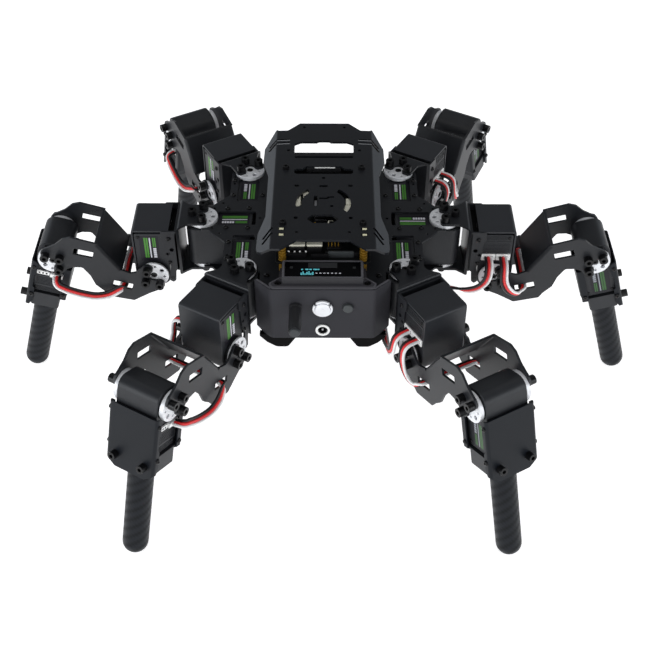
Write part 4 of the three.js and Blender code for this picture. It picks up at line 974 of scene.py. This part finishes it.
def front_panel():
    outer = [(-53, -86.4), (-40.3, -98.5), (40.3, -98.5), (53, -86.4), (51.6, -85), (39.5, -96.5), (-39.5, -96.5), (-51.6, -85)]
    wall = ext(fillet(outer, [0.8, 5.5, 5.5, 0.8, 0.4, 3.8, 3.8, 0.4], 6), -45.3, 5.5, "xy", w=0)
    # the wall's ends are cut on a slope, higher at the back
    lip = [ext([(sx * 54, -92), (sx * 54, -80), (sx * 46, -80), (sx * 46, -92)], 6.5, 8, "xy", w=0) for sx in (-1, 1)]
    holes = [cyl(6.45, -101, -92, "y", (0, -12), 36, 0), cyl(4.65, -101, -92, "y", (0, -35.7), 30, 0), cyl(3.65, -101, -92, "y", (-21, -12), 24, 0)]
    side = ext([(-60, -60), (-60, -39.5), (-46, -45.4), (46, -45.4), (60, -39.5), (60, -60)], -110, -80, "xz", w=0)
    s = boolean(wall, side, "DIFFERENCE")
    s = boolean(s, total([ext(circle(6.45, 0, -12, 36), -101, -92, "xz", w=0), ext(circle(4.65, 0, -35.7, 30), -101, -92, "xz", w=0), ext(circle(3.65, -21, -12, 24), -101, -92, "xz", w=0)]), "DIFFERENCE")
    s = bev(tidy(s), 0.5, 3, 42)
    parts = [("panel", s)]
    # roof with rounded lugs and recessed screws
    roof = fillet([(-39.6, -97.6), (39.6, -97.6), (41.8, -91.3), (33.7, -84.4), (33.5, -73), (-33.5, -73), (-33.7, -84.4), (-41.8, -91.3)], [3, 3, 2.5, 2.5, 1, 1, 2.5, 2.5], 4)
    hol = [circle(3.1, 34.4, -90.2, 26), circle(3.1, -34.4, -90.2, 26), rrect(-27, 27, -90, -76, 1)]
    parts.append(("panel_edge", ext(roof, 3.0, 5.9, "xy", holes=hol, w=0.7, seg=3)))
    inner = fillet([(-38.7, -94.9), (38.7, -94.9), (40.2, -91.2), (33.2, -85.4), (-33.2, -85.4), (-40.2, -91.2)], [2, 2, 2, 1.5, 1.5, 2], 4)
    rimo = fillet([(-39.6, -97.6), (39.6, -97.6), (41.8, -91.3), (33.7, -84.4), (-33.7, -84.4), (-41.8, -91.3)], [3, 3, 2.5, 2.5, 2.5, 2.5], 4)
    # thin light rim round the roof: painted highlight
    parts.append(("bezel", ext(rimo, 5.6, 6.1, "xy", holes=[inner], w=0.15, seg=2)))
    for sx in (-1, 1):
        parts.append(("panel", ext(circle(4.2, sx * 34.4, -90.2, 26), -40.8, 3.2, "xy", w=0.2)))
        parts.append(("black_screw", aim(cap_screw(2.4, 1.6, 18), (sx * 34.4, -90.2, 3.0), "z")))
        # folded rib where the wing meets the roof, in the light finish: painted highlight on that edge
        parts.append(("bezel", ext(fillet([(sx * 40.2, -97.2), (sx * 51.6, -86.6), (sx * 50.6, -85.4), (sx * 39.4, -95.6)], 0.4, 2), 4.2, 5.75, "xy", w=0.25)))
    # small round key
    parts.append(("key", lathe([(0, -97.8), (4.0, -97.8), (4.0, -100.6), (3.6, -101.0), (2.4, -101.1), (0, -101.2)], "y", 30, (19.6, -12))))
    parts.append(("panel", ext(circle(5.0, 19.6, -12, 30), -98.9, -98.2, "xz", holes=[circle(4.2, 19.6, -12, 24)], w=0.15)))
    return mesh("front_panel_shell", parts)


def display_bezel():
    z0 = 5.8
    side = fillet([(-92.3, z0), (-91.2, 11.7), (-73.2, 13.9), (-73.2, z0)], [0.3, 1.0, 0.8, 0.3], 4)
    s = ext(side, -31.5, 31.5, "yz", w=0)
    cut_ = ext([(-90.0, 10.0), (-90.3, 20), (-73.9, 20), (-74.3, 11.6)], -29.3, 29.3, "yz", w=0)
    plan = ext(fillet([(-31.5, -92.4), (31.5, -92.4), (31.5, -73), (-31.5, -73)], 1.8, 4), 0, 20, "xy", w=0)
    s = boolean(boolean(s, plan, "INTERSECT"), cut_, "DIFFERENCE")
    s = bev(tidy(s), 0.25, 2, 42)
    R = Matrix.Translation((0, -91.2, 11.7)) @ Matrix.Rotation(math.atan2(2.2, 18), 4, "X")
    # thin light frame on the bezel's sloped face: painted highlight
    edge = ext(rrect(-31.2, 31.2, 0.3, 17.95, 1.5), -0.05, 0.1, "xy", holes=[rrect(-29.5, 29.5, 1.1, 17.0, 0.5)], w=0.03, seg=1).by(R)
    return mesh("bezel_frame", [("bezel_body", s), ("bezel", edge)])


def display_glass():
    g = ext([(-89.6, 10.3), (-89.6, 11.35), (-74.7, 13.2), (-74.7, 12.0)], -28.9, 28.9, "yz", w=0.12, seg=2)
    tilt = math.atan2(13.2 - 11.35, 89.6 - 74.7)
    R = Matrix.Translation((0, -89.6, 11.35)) @ Matrix.Rotation(tilt, 4, "X")

    def on(x0, x1, v0, v1, k, h=0.05):
        return (k, ext(rrect(x0, x1, v0, v1, 0.25, 2), 0.0, h, "xy", w=0.01, seg=1).by(R))
    parts = [("glass", g)]
    # generic picture: two rows of cyan bars, a row of ticks; the wide grey film patch at the upper centre of the glass
    # is a painted reflection
    parts.append(on(-11.2, 11.2, 9.2, 14.6, "film", 0.03))
    for i, hgt in enumerate((2.2, 3.6, 1.6, 3.0, 3.8, 2.0, 3.2)):
        parts.append(on(-17.0 + i * 1.5, -16.0 + i * 1.5, 1.8, 1.8 + hgt, "screen_ink"))
    for i, wid in enumerate((1.5, 2.6, 2.0, 3.0, 1.6)):
        parts.append(on(-16.6 + i * 3.1, -16.6 + i * 3.1 + wid, 6.9, 8.1, "screen_ink"))
    for i in range(7):
        parts.append(on(-5.6 + i * 3.0, -4.0 + i * 3.0, 3.2, 4.1, "label_white"))
    for x in (-25.2, 23.2):
        parts.append(on(x, x + 2.2, 8.4, 10.6, "film", 0.03))
    return mesh("glass_panel", parts)


def power_button():
    disc = lathe([(0, -102.0), (3.2, -102.2), (5.6, -102.1), (6.0, -101.7), (6.0, -99.4), (0, -99.4)], "y", 40, (0, -12))
    holes = []
    ring = ext(circle(7.9, 0, -12, 48), -101.3, -99.6, "xz", holes=[circle(6.15, 0, -12, 40)], w=0.3, seg=2)
    notch = total([ext(rrect(-1.1, 1.1, 5.2, 9, 0.3, 2), -103, -98, "xz", w=0).turn(a, "Y").move(0, 0, -12) for a in (-52, 52)])
    ring = bev(tidy(boolean(ring, notch, "DIFFERENCE")), 0.08, 1, 42)
    shank = cyl(6.0, -99.6, -93, "y", (0, -12), 36, 0.2)
    dimple = lathe([(0, -102.35), (1.1, -102.35), (1.3, -102.1), (0, -102.0)], "y", 20, (0, -12))
    return mesh("button_metal", [("silver", disc + ring + shank + dimple)])


def dc_jack():
    ring = ext(circle(5.75, 0, -35.7, 44), -99.9, -98.75, "xz", holes=[circle(3.85, 0, -35.7, 32)], w=0.25, seg=2)
    tube = ext(circle(4.3, 0, -35.7, 36), -99.0, -87, "xz", holes=[circle(3.2, 0, -35.7, 30)], w=0.1)
    floor = cyl(3.25, -92, -91, "y", (0, -35.7), 30, 0.05)
    pin = lathe([(0, -91.5), (0.95, -91.5), (0.95, -98.6), (0.6, -99.1), (0, -99.2)], "y", 16, (0, -35.7))
    return mesh("jack_shell", [("white_plug", ring), ("rubber", tube + floor), ("steel", pin)])


def antenna():
    body = lathe([(0, -98.85), (4.9, -98.85), (4.9, -101.2), (4.55, -101.6), (4.9, -102.0), (4.9, -126.0), (4.6, -126.5), (0, -126.5)], "y", 36, (-21, -12))
    tip = lathe([(0, -126.3), (4.1, -126.3), (4.1, -127.9), (3.7, -128.4), (2.0, -128.6), (0, -128.6)], "y", 30, (-21, -12))
    shank = cyl(3.3, -99.2, -92, "y", (-21, -12), 24, 0.1)
    return mesh("antenna_sleeve", [("sleeve", body + shank), ("tip", tip)])


def board():
    parts = [("pcb", ext(fillet([(-37, -71), (37, -71), (37, 71), (-37, 71)], 3, 4), 8, 9.6, "xy", holes=[circle(1.7, sx * 31.6, sy * 67, 14) for sx in (-1, 1) for sy in (-1, 1)], w=0.1, seg=1))]
    hexes = [(sx * 31.6, sy * 67) for sx in (-1, 1) for sy in (-1, 1)]
    for x, y in hexes:
        ridge = [(0, 9.5)]
        for i in range(6):
            z = 9.5 + i * 2.7
            ridge += [(1.7, z), (3.0, z + 0.5), (3.0, z + 1.5), (1.7, z + 2.0)]
        parts.append(("brass", lathe(ridge + [(0, 25.7)], "z", 20, (x, y))))
        parts.append(("brass", ext(circle(3.0, x, y, 6, 15), -1.7, 8.1, "xy", w=0.3)))
    # two cream sockets behind the display, a pin header, a row of pads
    for x0, x1 in ((-26.8, -14.0), (-12.8, -0.4)):
        parts.append(("chip", ext(rrect(x0 + 0.3, x1 - 0.3, -60.4, -51.8, 0.5), 9.5, 15.4, "xy", w=0.2)))
        parts.append(("cream", ext(rrect(x0, x1, -58.3, -50.4, 0.8), 15.2, 17.2, "xy", w=0.35)))
    parts.append(("chip", block(3, 14.6, -59.6, -52.4, 9.5, 15, 0.25)))
    for i in range(4):
        parts.append(("brass", block(4.4 + i * 2.54 - 0.32, 4.4 + i * 2.54 + 0.32, -57.4, -56.8, 14.8, 18.6, 0.1, 1)))
        parts.append(("brass", block(4.4 + i * 2.54 - 0.32, 4.4 + i * 2.54 + 0.32, -54.9, -54.3, 14.8, 18.6, 0.1, 1)))
    parts.append(("chip", block(-30, -13, -65.2, -62.6, 9.5, 13.6, 0.15)))
    for x in (-26.6, -22.2, -18, -13.4):
        parts.append(("white_plug", block(x - 0.7, x + 0.7, -62.9, -62.0, 13.4, 14.4, 0.1, 1)))
    parts.append(("key", block(4, 24, -64.6, -63.2, 9.5, 15.4, 0.2)))
    parts.append(("chip", block(-9, 4.4, -66.6, -65.2, 9.5, 14, 0.2)))
    parts.append(("chip", block(2, 28, -64.4, -61.6, 9.5, 14.2, 0.2)))
    # small parts under the deck windows
    for x, y, w_, h_, z_, k in ((-21.4, -11.0, 6.0, 16, 25.2, "cream"), (20.6, -13.0, 5.0, 8, 25.2, "cream"), (19.4, -22.5, 5.4, 9, 25.2, "cream"), (-13.6, -2.6, 6.0, 5, 25.2, "cream"), (-8, -31, 6, 4, 18, "chip"), (6, -30.5, 4, 2.4, 19, "cream"), (0, -12, 13, 16, 14.4, "chip"),
                                (-6.2, -15.4, 2.2, 8, 25.2, "steel"), (21.7, -34.8, 6.5, 9, 25.4, "rubber"), (-21.7, -34.8, 6.5, 9, 25.4, "rubber"), (0, 26, 30, 7, 12, "chip"), (12, 8, 10, 10, 11.6, "chip"), (1, 33.5, 30, 3, 18, "chip"), (0, 44, 44, 10, 15, "chip"),
                                (0, -39, 24, 14, 20, "chip"), (4.2, -38, 1.2, 7, 22.6, "cream"), (-1.5, -41.6, 9, 0.9, 22.6, "steel"), (-6.6, -38.4, 1.4, 5, 22.2, "brass"), (-27, -40, 6, 8, 13, "chip"), (26, -42, 5, 7, 13, "chip"), (14, -44, 6, 6, 12, "chip"), (-2, -27.6, 9, 2.2, 18, "steel")):
        parts.append((k, block(x - w_ / 2, x + w_ / 2, y - h_ / 2, y + h_ / 2, 9.5, z_, 0.25)))
    for i in range(14):
        a = i * 2.4
        x, y = -32 + (i * 17.3) % 64, 6 + (i * 29.7) % 58
        parts.append(("cream" if i % 3 == 0 else "steel", block(x - 0.8, x + 0.8, y - 1.4, y + 1.4, 9.5, 10.4, 0.1, 1)))
    # near-black sheet under the deck's rear slots: painted shade
    parts.append(("skid", block(-29, 29, 20.5, 42.5, 20.0, 20.7, 0.15)))
    # electrolytic cans
    for x, y in ((-30, 20), (-30, 30), (30, 8)):
        parts.append(("chip", cyl(3.2, 9.5, 18, "z", (x, y), 24, 0.4)))
        parts.append(("silver", cyl(2.9, 17.9, 18.1, "z", (x, y), 24, 0.05)))
    return mesh("board_assembly", parts)


def battery():
    parts = []
    for i in (-1, 1):
        b = ext(fillet([(-48, -40.7), (48, -40.7), (48, -14), (-48, -14)], 2.5, 4), *(sorted((i * 0.3, i * 21.8))), "yz", w=1.6, seg=3)
        parts.append(("wrap", b))
    parts.append(("label", ext(rrect(-21.5, 21.5, -30, 30, 1), -14.1, -13.9, "xy", w=0.03, seg=1)))
    return mesh("battery_cells", parts)


def rear_panel():
    slots = [rrect(i * 13 - 4.5, i * 13 + 4.5, -31, -25, 1.2) for i in range(-2, 3)]
    s = ext(rrect(-46, 46, -40.8, -4.4, 1.5), 79.6, 81.6, "xz", holes=slots, w=0.25)
    latch = ext(rrect(-12, 12, -17, -10, 2), 81.5, 84, "xz", w=0.5, seg=3)
    grip = [ext(rrect(-9, 9, -15.8 + i * 1.9, -15.1 + i * 1.9, 0.3, 2), 83.8, 84.3, "xz", w=0.1, seg=1) for i in range(3)]
    return mesh("rear_cover", [("panel", s), ("panel_edge", latch), ("rubber", total(grip))])


CHASSIS = (("deck_sheet", deck, "deck"), ("upper_plate_sheet", upper_plate, "upper_servo_plate"), ("lower_plate_sheet", lower_plate, "lower_servo_plate"),
           ("front_panel_shell", front_panel, "front_panel"), ("bezel_frame", display_bezel, "display_bezel"), ("glass_panel", display_glass, "display_glass"),
           ("jack_shell", dc_jack, "dc_jack"), ("antenna_sleeve", antenna, "antenna"), ("board_assembly", board, "controller_board"),
           ("battery_cells", battery, "battery_pack"), ("rear_cover", rear_panel, "rear_panel"))
for name, make, node in CHASSIS:
    piece(name, make(), "chassis", BODY, (node,))
piece("button_metal", power_button(), "power_button", BODY, ("power_button",))

# ------------------------------------------------------------ floor and light
floor = bpy.data.objects.new("floor", bpy.data.meshes.new("floor"))
floor.data.from_pydata([(-6, -6, 0), (6, -6, 0), (6, 8, 0), (-6, 8, 0)], [], [[0, 1, 2, 3]])
bpy.context.scene.collection.objects.link(floor)
fm = surface("floor_paper", (0.88, 0.88, 0.885), 0.75, 0.0, 60, 0.0, 0.0001, 0.01, 0.02, 2, spec=0.2)
fb = fm.node_tree.nodes["Principled BSDF"]
fb.inputs["Emission Color"].default_value = (1, 1, 1, 1)
fb.inputs["Emission Strength"].default_value = 0.8
floor.data.materials.append(fm)


def area(name, at, target, size, power, color=(1, 1, 1), size_y=None):
    d = bpy.data.lights.new(name, "AREA")
    d.shape = "RECTANGLE"
    d.size, d.size_y = size, size_y or size
    d.energy, d.color = power, color
    o = bpy.data.objects.new(name, d)
    bpy.context.scene.collection.objects.link(o)
    o.location = at
    o.rotation_mode = "QUATERNION"
    o.rotation_quaternion = (Vector(target) - Vector(at)).to_track_quat("-Z", "Y")


area("top", (0, 0.3, 2.4), (0, 0, 0), 2.0, 10)
area("front_top", (0, -1.5, 1.9), (0, 0, 0.1), 1.6, 7)
area("left", (-2.0, -1.15, 0.62), (0, 0, 0.1), 1.2, 18, (0.93, 0.965, 1.0), 0.9)
area("right", (2.0, -1.15, 0.62), (0, 0, 0.1), 1.2, 12.5, (0.92, 0.96, 1.0), 0.9)
area("front", (0.1, -2.4, 0.7), (0, 0, 0.1), 2.2, 8, size_y=0.7)
area("back_left", (-1.6, 2.0, 1.0), (0, 0, 0.1), 0.9, 3.7, (0.84, 0.91, 1.0), 0.7)
area("back_right", (1.6, 2.0, 1.0), (0, 0, 0.1), 0.9, 2.0, (0.80, 0.89, 1.0), 0.7)
world = bpy.data.worlds.new("world")
bpy.context.scene.world = world
world.use_nodes = True
wt = world.node_tree
wc = wt.nodes.new("ShaderNodeTexCoord")
wz = wt.nodes.new("ShaderNodeSeparateXYZ")
wr = wt.nodes.new("ShaderNodeMapRange")
wr.interpolation_type = "SMOOTHSTEP"
for key, val in (("From Min", 0.15), ("From Max", 0.75), ("To Min", 0.40), ("To Max", 0.06)):
    wr.inputs[key].default_value = val
wt.links.new(wc.outputs["Generated"], wz.inputs[0])
wt.links.new(wz.outputs["Z"], wr.inputs["Value"])
wt.links.new(wr.outputs[0], wt.nodes["Background"].inputs["Strength"])
wt.nodes["Background"].inputs["Color"].default_value = (0.92, 0.96, 1, 1)
bpy.context.scene.view_settings.view_transform = "Standard"
bpy.context.scene.view_settings.look = "None"
